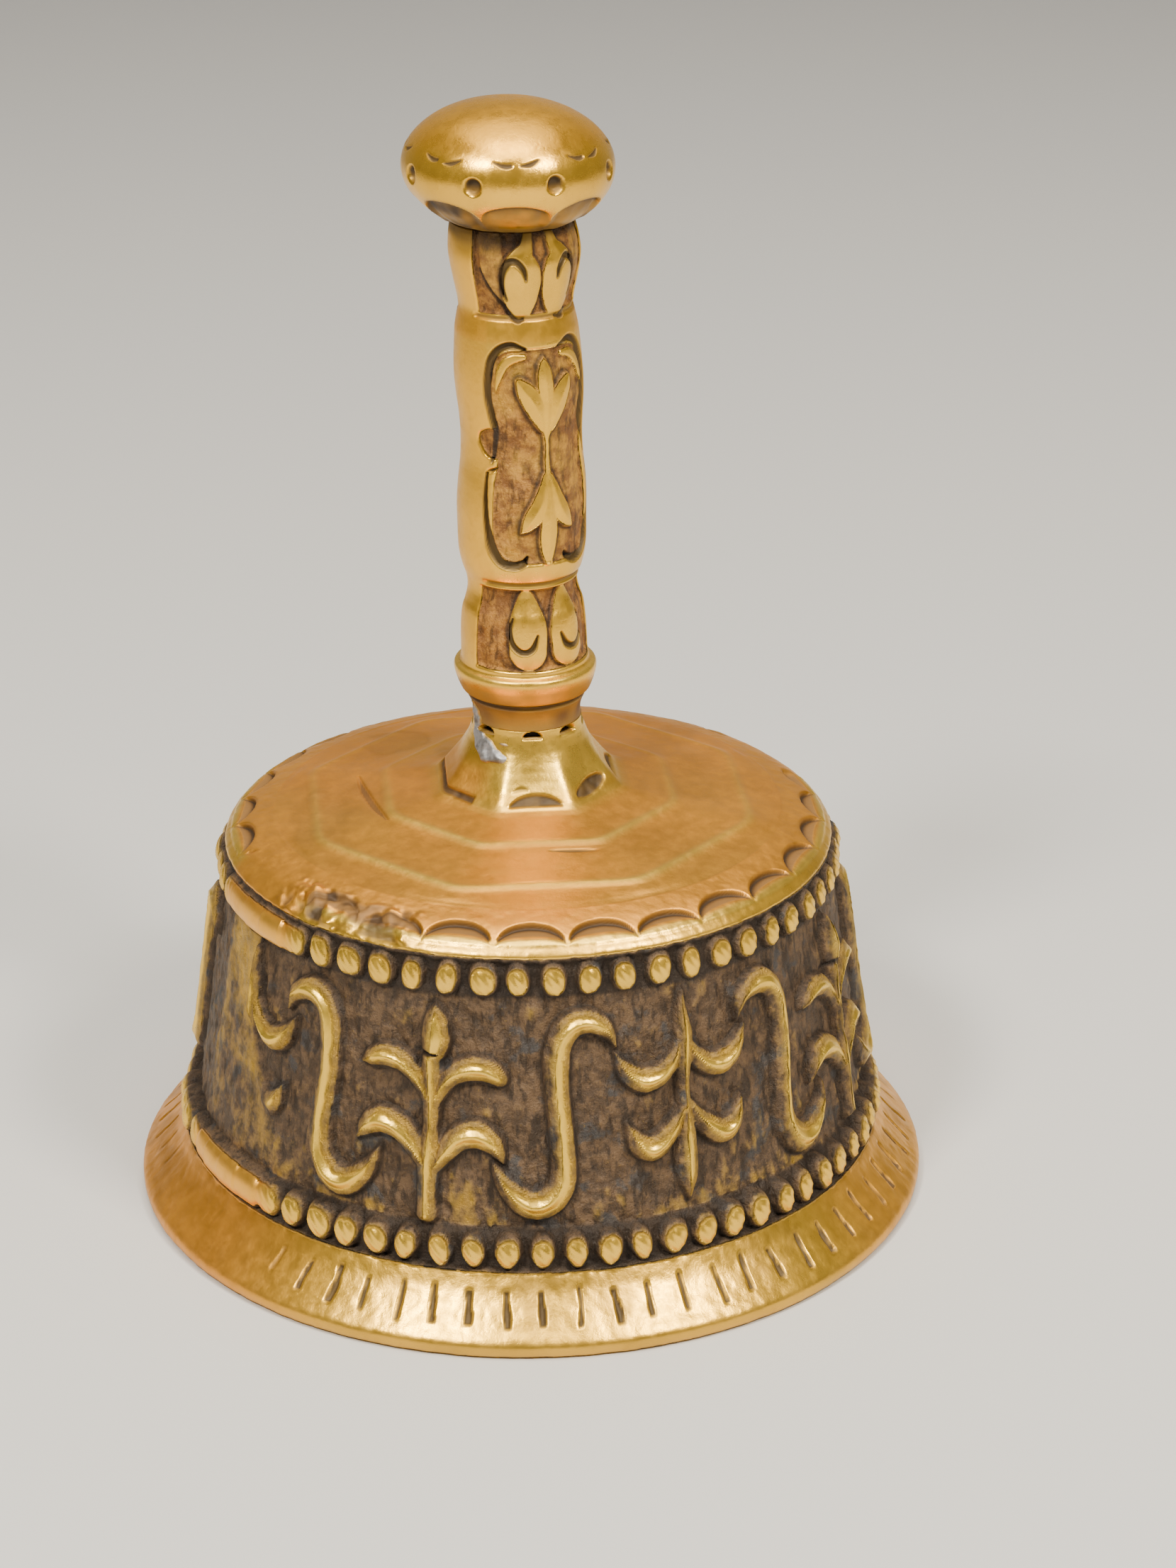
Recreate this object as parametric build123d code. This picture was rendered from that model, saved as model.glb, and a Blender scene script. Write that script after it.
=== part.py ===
"""Brass hand bell for prayer: a cast cup with a soldered-on handle and a clapper that swings inside.

Millimetres, +Z up. The origin is the centre of the rim's underside, where the bell stands.
One STEP file per physical piece is written to parts/.
"""

from build123d import *
from math import cos, pi, radians, sin, sqrt
import os

# Driving dimensions of the cup.
RIM_RADIUS = 47.5
RIM_EDGE = 2.2
RIM_CHAMFER = 0.5
RIM_INNER_RADIUS = 43.6
WALL_FOOT_RADIUS, WALL_FOOT_Z = 40.6, 12.5
WALL_TOP_RADIUS, WALL_TOP_Z = 36.0, 41.5
WALL_THICKNESS = 2.4
SHOULDER_RADIUS, SHOULDER_Z = 33.2, 46.0
FLARE_ROWS = [(44.6, 4.4), (42.7, 7.0), (41.4, 9.6)]
SHOULDER_ROWS = [(35.6, 43.4), (34.7, 44.9)]
CAVITY_SHOULDER_ROWS = [(27.0, 44.4), (31.6, 43.0)]
CAVITY_TOP_Z = 40.0
CAVITY_FLARE_ROW = (39.6, 6.0)
BEAD_BAND_RADIUS = 0.95
LOWER_BEAD_Z = 10.6
UPPER_BEAD_Z = 41.6

# Crown: low octagonal terraces around a hollow foot that takes the handle.
CROWN_TURN = 5.5
CROWN_EDGE_RADIUS, CROWN_EDGE_Z = 30.0, 47.0
OUTER_TERRACE_APOTHEM, OUTER_TERRACE_Z = 25.4, 48.0
INNER_TERRACE_APOTHEM, INNER_TERRACE_Z = 17.0, 49.3
FOOT_APOTHEM, FOOT_Z = 9.9, 50.6
FOOT_PLINTH = 1.0
FOOT_WAIST_HEIGHT_SHARE, FOOT_WAIST_WIDTH_SHARE = 0.45, 0.34
TERRACE_STEP = 0.45
CROWN_UNDERSIDE_Z = 48.0
CROWN_UNDERSIDE_DIP = 0.2
SOCKET_RADIUS = 4.5
SOCKET_FLOOR_Z = 50.2
NECK_RADIUS, NECK_Z = 6.2, 58.5
HOOK_HOLE_RADIUS, HOOK_HOLE_LENGTH = 1.6, 8.0

# Handle, which leans a little to -X above the neck joint.
HANDLE_LEAN = 1.4
SPIGOT_RADIUS = 4.45
SPIGOT_END_Z = 53.2
JOINT_CHAMFER = 0.7
COLLAR_RADIUS, COLLAR_Z = 8.25, 64.0
KNOB_SEAT_Z = 117.2
SHAFT_FOOT_DEPTH = 1.5
NECK_ROWS = [(6.2, 58.8), (7.1, 61.4)]
COLLAR_ROWS = [(7.7, 61.9), (COLLAR_RADIUS, COLLAR_Z), (7.6, 65.5)]
LOWER_SECTION_ROWS = [(7.2, 66.0), (7.3, 69.5), (7.0, 72.2), (6.2, 74.8)]
MAIN_SECTION_ROWS = [
    (6.8, 77.3), (7.3, 80.0), (7.35, 85.0), (6.9, 91.5), (7.2, 98.5), (7.0, 104.0), (6.35, 107.6),
]
CAPITAL_ROWS = [(6.6, 109.4), (7.1, 111.8), (7.35, 114.5), (7.0, KNOB_SEAT_Z)]
KNOB_RADIUS, KNOB_HALF_HEIGHT, KNOB_Z = 11.75, 7.3, 123.2
TENON_RADIUS, TENON_LENGTH = 3.0, 5.0

# Solder in the neck joint: a ring, a lump in front and a run down the left side.
SOLDER_STANDOFF = 0.1
SOLDER_RING_THICKNESS = 0.75
SOLDER_LUMP_RADIUS, SOLDER_LUMP_TURN, SOLDER_LUMP_Z = 1.5, -126, NECK_Z - 0.9
SOLDER_RUN_RADIUS, SOLDER_RUN_TURN, SOLDER_RUN_Z = 1.2, -160, NECK_Z + 0.4

# Clapper, which hangs eye in eye from a hook that turns in the crown.
WIRE_RADIUS = 0.9
EYE_RADIUS = 2.6
HOOK_SHANK_RADIUS = 1.5
HOOK_HEAD_RADIUS, HOOK_HEAD_HEIGHT, HOOK_HEAD_FILLET = 2.7, 1.2, 0.6
WASHER_RADIUS, WASHER_THICKNESS = 3.9, 0.8
PIVOT_Z = 41.3
EYE_PLAY = 0.1
EYE_WELD_SHARE = 0.6
ROD_RADIUS = 1.3
RIVET_RADIUS, RIVET_DEPTH = 2.2, 1.6
RIVET_EDGE_SHARE = 0.4
BALL_RADIUS = 9.5
BALL_Z = 11.2
SWING_LIMIT_DEG = 60.0

GAP = 0.05
TRIM_BLOCK = 40.0


def outline(points):
    """A closed face in the XZ plane through (radius, z) points joined by straight lines."""
    corners = [(r, 0, z) for r, z in points]
    return Face(Wire(Polyline(*corners, close=True).edges()))


def turned(face):
    """The solid swept by a face of the XZ plane about the Z axis."""
    return revolve(face, Axis.Z, 360)


def below(z):
    """A block that fills the space round the axis under height z, to trim a solid off flat."""
    return Pos(0, 0, z - TRIM_BLOCK / 2) * Box(TRIM_BLOCK, TRIM_BLOCK, TRIM_BLOCK)


def octagon(apothem, z):
    """A regular octagon whose front side faces -Y, turned by CROWN_TURN, at height z."""
    circumradius = apothem / cos(pi / 8)
    sketch = RegularPolygon(circumradius, 8, rotation=22.5 + CROWN_TURN)
    return Pos(0, 0, z) * sketch


def octagonal_frustum(low_apothem, low_z, high_apothem, high_z):
    return loft([octagon(low_apothem, low_z), octagon(high_apothem, high_z)], ruled=True)


def foot_of_handle():
    """The flared foot on the crown: octagonal at the crown, round at its mouth."""
    mouth = Pos(0, 0, NECK_Z) * Circle(NECK_RADIUS)
    waist_z = FOOT_Z + FOOT_WAIST_HEIGHT_SHARE * (NECK_Z - FOOT_Z)
    waist_apothem = NECK_RADIUS + FOOT_WAIST_WIDTH_SHARE * (FOOT_APOTHEM - NECK_RADIUS)
    lower = octagonal_frustum(FOOT_APOTHEM, FOOT_Z, waist_apothem, waist_z)
    upper = loft([Pos(0, 0, waist_z - GAP) * Circle(waist_apothem), mouth], ruled=True)
    return lower + upper


def bell_body():
    """The cup: flared rim, slightly conical wall, rounded shoulder, terraced crown and hollow foot."""
    outside = [
        (RIM_RADIUS - RIM_CHAMFER, 0),
        (RIM_RADIUS, RIM_CHAMFER),
        (RIM_RADIUS, RIM_EDGE - RIM_CHAMFER),
        (RIM_RADIUS - RIM_CHAMFER, RIM_EDGE),
        *FLARE_ROWS,
        (WALL_FOOT_RADIUS, WALL_FOOT_Z),
        (WALL_TOP_RADIUS, WALL_TOP_Z),
        *SHOULDER_ROWS,
        (SHOULDER_RADIUS, SHOULDER_Z),
        (CROWN_EDGE_RADIUS, CROWN_EDGE_Z),
        (OUTER_TERRACE_APOTHEM, OUTER_TERRACE_Z - TERRACE_STEP),
        (FOOT_APOTHEM, FOOT_Z - TERRACE_STEP),
        (0, FOOT_Z - TERRACE_STEP),
    ]
    inside = [
        (0, CROWN_UNDERSIDE_Z),
        (FOOT_APOTHEM, CROWN_UNDERSIDE_Z - CROWN_UNDERSIDE_DIP),
        *CAVITY_SHOULDER_ROWS,
        (WALL_TOP_RADIUS - WALL_THICKNESS, CAVITY_TOP_Z),
        (WALL_FOOT_RADIUS - WALL_THICKNESS, WALL_FOOT_Z),
        CAVITY_FLARE_ROW,
        (RIM_INNER_RADIUS, 0),
    ]
    body = turned(outline(outside + inside))
    terraces = [
        (OUTER_TERRACE_APOTHEM, OUTER_TERRACE_Z, INNER_TERRACE_APOTHEM, INNER_TERRACE_Z),
        (INNER_TERRACE_APOTHEM, INNER_TERRACE_Z, FOOT_APOTHEM, FOOT_Z),
    ]
    for low_apothem, low_z, high_apothem, high_z in terraces:
        top = octagonal_frustum(low_apothem, low_z, high_apothem, high_z - TERRACE_STEP)
        riser = extrude(octagon(low_apothem, low_z - 2 * TERRACE_STEP), 2 * TERRACE_STEP)
        body += top + riser
    for band_z in (LOWER_BEAD_Z, UPPER_BEAD_Z):
        body += Pos(0, 0, band_z) * Torus(wall_radius(band_z), BEAD_BAND_RADIUS)
    body += foot_of_handle() + extrude(octagon(FOOT_APOTHEM, FOOT_Z - FOOT_PLINTH), FOOT_PLINTH)
    socket_depth = NECK_Z - SOCKET_FLOOR_Z
    body -= Pos(0, 0, SOCKET_FLOOR_Z + socket_depth / 2) * Cylinder(SOCKET_RADIUS, socket_depth)
    body -= Pos(0, 0, CROWN_UNDERSIDE_Z) * Cylinder(HOOK_HOLE_RADIUS, HOOK_HOLE_LENGTH)
    mouth_chamfer = [
        (NECK_RADIUS - JOINT_CHAMFER, NECK_Z),
        (NECK_RADIUS + JOINT_CHAMFER, NECK_Z),
        (NECK_RADIUS + JOINT_CHAMFER, NECK_Z - 2 * JOINT_CHAMFER),
    ]
    return body - turned(outline(mouth_chamfer))


def wall_radius(z):
    """Radius of the plain outer wall at height z."""
    share = (z - WALL_FOOT_Z) / (WALL_TOP_Z - WALL_FOOT_Z)
    return WALL_FOOT_RADIUS + share * (WALL_TOP_RADIUS - WALL_FOOT_RADIUS)


def leaning(shape):
    """The shape tilted with the handle, about the centre of the neck joint."""
    return Pos(0, 0, NECK_Z) * Rot(0, -HANDLE_LEAN, 0) * Pos(0, 0, -NECK_Z) * shape


def handle_shaft():
    """The grip: neck, collar and three swelling sections, with a spigot below and a tenon above."""
    foot_z = NECK_Z - SHAFT_FOOT_DEPTH
    sections = COLLAR_ROWS + LOWER_SECTION_ROWS + MAIN_SECTION_ROWS + CAPITAL_ROWS
    outside = [(0, foot_z), (NECK_RADIUS - SOLDER_STANDOFF, foot_z), *NECK_ROWS, *sections]
    column = turned(outline([*outside, (0, KNOB_SEAT_Z)]))
    tenon = Pos(0, 0, KNOB_SEAT_Z + TENON_LENGTH / 2) * Cylinder(TENON_RADIUS, TENON_LENGTH)
    shaft = leaning(column + tenon)
    shaft -= below(NECK_Z)
    spigot_length = NECK_Z - SPIGOT_END_Z
    shaft += Pos(0, 0, NECK_Z - spigot_length / 2) * Cylinder(SPIGOT_RADIUS, spigot_length)
    seat_chamfer = [
        (NECK_RADIUS - JOINT_CHAMFER, NECK_Z),
        (NECK_RADIUS + 2 * JOINT_CHAMFER, NECK_Z),
        (NECK_RADIUS + 2 * JOINT_CHAMFER, NECK_Z + 3 * JOINT_CHAMFER),
    ]
    return shaft - turned(outline(seat_chamfer))


def handle_knob():
    """The flattened ball on top, bored for the shaft's tenon."""
    stretch = KNOB_HALF_HEIGHT / KNOB_RADIUS
    ball = scale(Sphere(KNOB_RADIUS), by=(1, 1, stretch))
    knob = Pos(0, 0, KNOB_Z) * ball
    knob -= below(KNOB_SEAT_Z)
    bore_length = TENON_LENGTH + GAP
    knob -= Pos(0, 0, KNOB_SEAT_Z + bore_length / 2) * Cylinder(TENON_RADIUS + GAP, bore_length)
    return leaning(knob)


def handle_solder(body, shaft):
    """The solder that holds the handle: a ring in the joint's groove and a run down its left side."""
    ring = Pos(0, 0, NECK_Z) * Torus(NECK_RADIUS - SOLDER_STANDOFF, SOLDER_RING_THICKNESS)
    reach = NECK_RADIUS + SOLDER_STANDOFF
    lump = Rot(0, 0, SOLDER_LUMP_TURN) * Pos(reach, 0, SOLDER_LUMP_Z) * Sphere(SOLDER_LUMP_RADIUS)
    run = Rot(0, 0, SOLDER_RUN_TURN) * Pos(reach, 0, SOLDER_RUN_Z) * Sphere(SOLDER_RUN_RADIUS)
    return (ring + lump + run) - body - shaft


def hook_washer():
    """The washer in the hollow foot that the hook's head turns on."""
    blank = Cylinder(WASHER_RADIUS, WASHER_THICKNESS) - Cylinder(HOOK_HOLE_RADIUS, 2 * WASHER_THICKNESS)
    return Pos(0, 0, SOCKET_FLOOR_Z + WASHER_THICKNESS / 2) * blank


def clapper_hook():
    """The hook: a shank through the crown, headed over the washer, with a stirrup below.

    The stirrup's straight lowest bar lies along Y at PIVOT_Z, and the rod's eye swings round it.
    """
    head_z = SOCKET_FLOOR_Z + WASHER_THICKNESS + GAP
    arch_z = PIVOT_Z + EYE_RADIUS
    arch = Pos(0, 0, arch_z) * Rot(0, 90, 0) * Torus(EYE_RADIUS, WIRE_RADIUS)
    arch -= below(arch_z)
    stirrup = arch + Pos(0, 0, PIVOT_Z) * Rot(90, 0, 0) * Cylinder(WIRE_RADIUS, 2 * EYE_RADIUS)
    for side in (-EYE_RADIUS, EYE_RADIUS):
        stirrup += Pos(0, side, PIVOT_Z + EYE_RADIUS / 2) * Cylinder(WIRE_RADIUS, EYE_RADIUS)
        stirrup += Pos(0, side, PIVOT_Z) * Sphere(WIRE_RADIUS)
    shank_low_z = arch_z + EYE_RADIUS - EYE_WELD_SHARE * WIRE_RADIUS
    shank_length = head_z + HOOK_HEAD_HEIGHT / 2 - shank_low_z
    shank = Pos(0, 0, shank_low_z + shank_length / 2) * Cylinder(HOOK_SHANK_RADIUS, shank_length)
    head = Pos(0, 0, head_z + HOOK_HEAD_HEIGHT / 2) * Cylinder(HOOK_HEAD_RADIUS, HOOK_HEAD_HEIGHT)
    head = fillet(head.edges().sort_by(Axis.Z)[-1], HOOK_HEAD_FILLET)
    return shank + head + stirrup


def clapper_rod():
    """The clapper's rod, with the eye that hangs in the hook and an end riveted over under the ball."""
    eye_z = PIVOT_Z - (EYE_RADIUS - 2 * WIRE_RADIUS) + EYE_PLAY
    eye = Pos(0, 0, eye_z) * Rot(90, 0, 0) * Torus(EYE_RADIUS, WIRE_RADIUS)
    rod_top_z = eye_z - EYE_RADIUS + EYE_WELD_SHARE * WIRE_RADIUS
    rod_low_z = BALL_Z - BALL_RADIUS
    rivet = [
        (0, rod_low_z),
        (RIVET_RADIUS, rod_low_z),
        (RIVET_RADIUS, rod_low_z + RIVET_EDGE_SHARE * RIVET_DEPTH),
        (ROD_RADIUS, rod_low_z + RIVET_DEPTH),
        (ROD_RADIUS, rod_top_z),
        (0, rod_top_z),
    ]
    return eye + turned(outline(rivet))


def clapper_ball(rod):
    """The striking ball, drilled through for the rod."""
    return Pos(0, 0, BALL_Z) * Sphere(BALL_RADIUS) - rod


def strike_gap(angle_deg):
    """Distance left between the ball and the cup's inner wall at a swing angle."""
    length = PIVOT_Z - BALL_Z
    x = length * sin(radians(angle_deg))
    z = PIVOT_Z - length * cos(radians(angle_deg))
    slope = (WALL_FOOT_RADIUS - WALL_TOP_RADIUS) / (CAVITY_TOP_Z - WALL_FOOT_Z)
    inner = WALL_FOOT_RADIUS - WALL_THICKNESS - slope * (z - WALL_FOOT_Z)
    return (inner - x) / sqrt(1 + slope**2) - BALL_RADIUS


def main():
    os.makedirs("parts", exist_ok=True)
    body = bell_body()
    shaft = handle_shaft()
    rod = clapper_rod()
    pieces = {
        "bell_body": body,
        "handle_shaft": shaft,
        "handle_knob": handle_knob(),
        "handle_solder": handle_solder(body, shaft),
        "hook_washer": hook_washer(),
        "clapper_hook": clapper_hook(),
        "clapper_rod": rod,
        "clapper_ball": clapper_ball(rod),
    }
    for name, piece in pieces.items():
        export_step(piece, f"parts/{name}.step")
        print(name, "solids", len(piece.solids()), "volume", round(piece.volume, 1))
    print("ball to wall at the swing limit", round(strike_gap(SWING_LIMIT_DEG), 3))


main()
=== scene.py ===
"""The looks of a brass hand bell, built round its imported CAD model.

The cup, handle, knob, solder and striking ball are fine meshes that take the place of the plain CAD
solids. Distances below are in millimetres and azimuths in degrees, measured from the front (-Y)
towards +X, and a mesh is turned into metres when it is made.
"""
import math

import bpy
import numpy as np
from mathutils import Matrix, Vector


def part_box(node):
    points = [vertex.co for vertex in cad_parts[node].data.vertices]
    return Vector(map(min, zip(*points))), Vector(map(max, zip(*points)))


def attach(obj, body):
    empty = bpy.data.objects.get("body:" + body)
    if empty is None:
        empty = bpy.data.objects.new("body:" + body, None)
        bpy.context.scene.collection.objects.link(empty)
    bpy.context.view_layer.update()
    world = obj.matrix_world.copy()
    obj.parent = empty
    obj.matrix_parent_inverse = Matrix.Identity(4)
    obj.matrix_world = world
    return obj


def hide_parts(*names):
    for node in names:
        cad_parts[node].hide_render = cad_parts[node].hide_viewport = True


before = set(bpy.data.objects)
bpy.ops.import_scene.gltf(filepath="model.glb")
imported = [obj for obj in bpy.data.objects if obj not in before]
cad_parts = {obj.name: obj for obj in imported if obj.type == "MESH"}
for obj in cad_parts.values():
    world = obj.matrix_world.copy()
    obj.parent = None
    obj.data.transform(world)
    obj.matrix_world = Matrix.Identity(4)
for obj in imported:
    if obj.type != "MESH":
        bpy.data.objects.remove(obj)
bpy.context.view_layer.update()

MM = 0.001

# Sizes that the CAD model fixes.
BODY_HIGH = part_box("bell_body")[1]
BALL_LOW, BALL_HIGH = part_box("clapper_ball")
RIM_RADIUS, MOUTH_Z = BODY_HIGH.x / MM, BODY_HIGH.z / MM
KNOB_TOP_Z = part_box("handle_knob")[1].z / MM
SPIGOT_LOW_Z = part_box("handle_shaft")[0].z / MM

# The cup.
FRONT_COLUMNS = 1296
CROWN_COLUMNS = 432
INSIDE_COLUMNS = 216
WALL_RADIUS = 38.8
WALL_SLOPE = 0.1517
DEGREE = WALL_RADIUS * math.pi / 180
WALL_LOW_Z, WALL_HIGH_Z = 12.6, 39.4
SEAM_AZIMUTHS = (-59.0, 121.0)
LOWER_BEADS, LOWER_BEAD_PHASE, LOWER_BEAD_Z = 68, 1.4, 10.25
UPPER_BEADS, UPPER_BEAD_PHASE, UPPER_BEAD_Z = 57, 4.2, 41.3
SCALLOPS = 27
CROWN_TURN = 5.0

# The handle, which leans to -X above the neck: (z, x) along its slightly bent axis.
HANDLE_AXIS = [
    (58.5, 0.0), (68.0, -0.28), (77.0, -0.42), (85.0, -0.36), (92.0, -0.3), (99.0, -0.52),
    (105.0, -0.78), (114.0, -0.9), (118.0, -1.15), (123.2, -1.5), (130.5, -1.7),
]
HANDLE_COLUMNS = 400
HANDLE_PANEL_AZIMUTH = 25.0


# Shapes drawn on a surface -------------------------------------------------------------------------

def ramp(value, low, high):
    """0 below low, 1 above high, and smooth between."""
    share = np.clip((value - low) / (high - low), 0.0, 1.0)
    return share * share * (3.0 - 2.0 * share)


def turn_to(azimuth, centre):
    """Degrees from a centre azimuth, from -180 to 180."""
    return (azimuth - centre + 180.0) % 360.0 - 180.0


def beside(azimuth, centre, near, far):
    """1 within near degrees of a centre azimuth, 0 beyond far, and smooth between."""
    return 1.0 - ramp(np.abs(turn_to(azimuth, centre)), near, far)


def by_seams(azimuth, near, far):
    """The same beside whichever seam of the cup's mould is nearer."""
    return np.max([beside(azimuth, seam, near, far) for seam in SEAM_AZIMUTHS], axis=0)


def between(value, low, high, soft=0.25):
    """1 from low to high and 0 outside, with soft ends."""
    return ramp(value, low - soft, low + soft) * (1.0 - ramp(value, high - soft, high + soft))


def hump(offset, width):
    """1 at no offset, falling smoothly away on both sides."""
    return np.exp(-(offset / width) ** 2)


def smooth_path(rows, per_span=6):
    """Points of a smooth curve through the rows, each of any number of values."""
    rows = np.asarray(rows, float)
    ends = np.vstack([2 * rows[0] - rows[1], rows, 2 * rows[-1] - rows[-2]])
    t = np.linspace(0.0, 1.0, per_span, endpoint=False)[:, None]
    spans = [
        0.5 * (2 * b + t * (c - a + t * (2 * a - 5 * b + 4 * c - d + t * (3 * b - a - 3 * c + d))))
        for a, b, c, d in zip(ends, ends[1:], ends[2:], ends[3:])
    ]
    return np.vstack([*spans, rows[-1:]])


def depth_inside(x, y, stroke):
    """How far each point lies inside a stroke of (x, y, half width) rows; negative outside."""
    line = smooth_path(stroke)
    line[:, 2] = np.maximum(line[:, 2], 0.04)
    depth = np.full(np.shape(x), -9.0)
    for (ax, ay, aw), (bx, by, bw) in zip(line, line[1:]):
        run_x, run_y = bx - ax, by - ay
        t = np.clip(((x - ax) * run_x + (y - ay) * run_y) / (run_x**2 + run_y**2), 0.0, 1.0)
        gap = np.hypot(x - ax - t * run_x, y - ay - t * run_y)
        depth = np.maximum(depth, aw + t * (bw - aw) - gap)
    return depth


def mirrored(stroke):
    return [(-x, y, width) for x, y, width in stroke]


def noise(points, size, seed):
    """Smooth random values from -1 to 1, with lumps of about the given size."""
    cells = points / size
    low = np.floor(cells).astype(np.int64)
    part = cells - low
    part = part * part * (3.0 - 2.0 * part)
    total = np.zeros(points.shape[:-1])
    for corner in np.ndindex(2, 2, 2):
        key = (low + np.array(corner)) @ np.array([73856093, 19349663, 83492791]) + seed * 7919
        key = (key ^ (key >> 13)) * 1274126177 & 0x7FFFFFFF
        key = (key ^ (key >> 15)) * 668265263 & 0x7FFFFFFF
        weight = np.prod(np.where(np.array(corner) == 1, part, 1.0 - part), axis=-1)
        total += weight * key / 0x7FFFFFFF
    return 2.0 * total - 1.0


# Meshes --------------------------------------------------------------------------------------------

def join_rings(low_start, low_count, high_start, high_count):
    """Faces between two rings of vertices; the upper ring may have several times fewer."""
    low = low_start + np.arange(low_count)
    if low_count == high_count:
        high = high_start + np.arange(high_count)
        return np.stack([low, np.roll(low, -1), np.roll(high, -1), high], 1).tolist()
    if low_count < high_count:
        faces = join_rings(high_start, high_count, low_start, low_count)
        return [face[::-1] for face in faces]
    ratio = low_count // high_count
    faces = []
    for k in range(high_count):
        near, far = high_start + k, high_start + (k + 1) % high_count
        run = [low_start + (k * ratio + i) % low_count for i in range(ratio + 1)]
        middle = ratio // 2
        faces += [[run[i], run[i + 1], near] for i in range(middle)]
        faces.append([run[middle], run[middle + 1], far, near])
        faces += [[run[i], run[i + 1], far] for i in range(middle + 1, ratio)]
    return faces


# What a mesh tells its material at each point, from 0 to 1: how far it stands over the ground, lowered
# on some flanks as painted shade;
# how much black dirt and brown stain it holds, together with painted shade, shadow and dark reflection
# in hollows and under overhangs;
# how copper-toned it is; and how bright it's rubbed, together with painted highlights on ridges and
# edges.
LAYERS = ("raised", "dirt_and_shade", "stain_and_shade", "copper", "rub_and_highlight")
BLANK = (0.0,) * len(LAYERS)


def placed(name, data):
    """A new object in the scene."""
    thing = bpy.data.objects.new(name, data)
    bpy.context.scene.collection.objects.link(thing)
    return thing


def shell(name, sections, fields, closed=True):
    """A mesh from sections of rings (rings, columns, 3), bottom to top, in millimetres.

    fields holds, for each section, one array or number per layer. Rings join in order, and a
    closed shell joins its last ring to its first.
    """
    starts, counts, points = [], [], []
    total = 0
    for section in sections:
        for ring in section:
            starts.append(total)
            counts.append(len(ring))
            points.append(ring)
            total += len(ring)
    faces = []
    for i in range(len(starts) - 1):
        faces += join_rings(starts[i], counts[i], starts[i + 1], counts[i + 1])
    if closed:
        faces += join_rings(starts[-1], counts[-1], starts[0], counts[0])
    else:
        faces.append(list(range(starts[0], starts[0] + counts[0]))[::-1])
        faces.append(list(range(starts[-1], starts[-1] + counts[-1])))
    mesh = bpy.data.meshes.new(name)
    mesh.from_pydata((np.vstack(points) * MM).tolist(), [], faces)
    mesh.update()
    mesh.shade_smooth()
    for layer, values in zip(LAYERS, zip(*fields)):
        attribute = mesh.attributes.new(layer, "FLOAT", "POINT")
        flat = [np.broadcast_to(v, s.shape[:2]).ravel() for v, s in zip(values, sections)]
        attribute.data.foreach_set("value", np.concatenate(flat).astype(np.float32))
    return placed(name, mesh)


def resample(points, step):
    """Points a step apart along a polyline of (radius, z), and their outward normals."""
    points = np.asarray(points, float)
    along = np.r_[0.0, np.cumsum(np.hypot(*np.diff(points, axis=0).T))]
    count = max(2, int(round(along[-1] / step)) + 1)
    s = np.linspace(0.0, along[-1], count)
    line = np.stack([np.interp(s, along, points[:, 0]), np.interp(s, along, points[:, 1])], 1)
    return line, outward(line)


def azimuths(columns):
    return np.arange(columns) * 360.0 / columns


def lean(z):
    """How far the handle's axis stands off in X at a height."""
    path = smooth_path(HANDLE_AXIS)
    return np.interp(z, path[:, 0], path[:, 1])


def wound(radius, z, azimuth):
    """Points at a radius, height and azimuth."""
    angle = np.radians(azimuth)
    return np.stack([radius * np.sin(angle), -radius * np.cos(angle), z + 0.0 * radius], -1)


def pushed(radius, z, azimuth, normal, height):
    """The same points, moved out along each row's normal (radius, z) by a height."""
    return wound(radius + normal[:, :1] * height, z + normal[:, 1:] * height, azimuth)


def plain_rings(rows, columns):
    """Round rings through (radius, z) rows."""
    azimuth = azimuths(columns)
    return np.stack([wound(radius + 0.0 * azimuth, z, azimuth) for radius, z in rows])


def grid(line, columns):
    """Radius, height and azimuth for every column of every (radius, z) row."""
    azimuth, z = np.meshgrid(azimuths(columns), line[:, 1])
    return np.repeat(line[:, :1], columns, axis=1), z, azimuth


def shifted(points):
    """Points of the handle, moved over to its leaning axis."""
    points[..., 0] += lean(points[..., 2])
    return points


def outward(line):
    """Unit normals (radius, z) along a line of (radius, z) rows that runs up."""
    run = np.gradient(line, axis=0)
    normal = np.stack([run[:, 1], -run[:, 0]], 1)
    return normal / np.linalg.norm(normal, axis=1)[:, None]


# The cup's ornament --------------------------------------------------------------------------------

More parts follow.
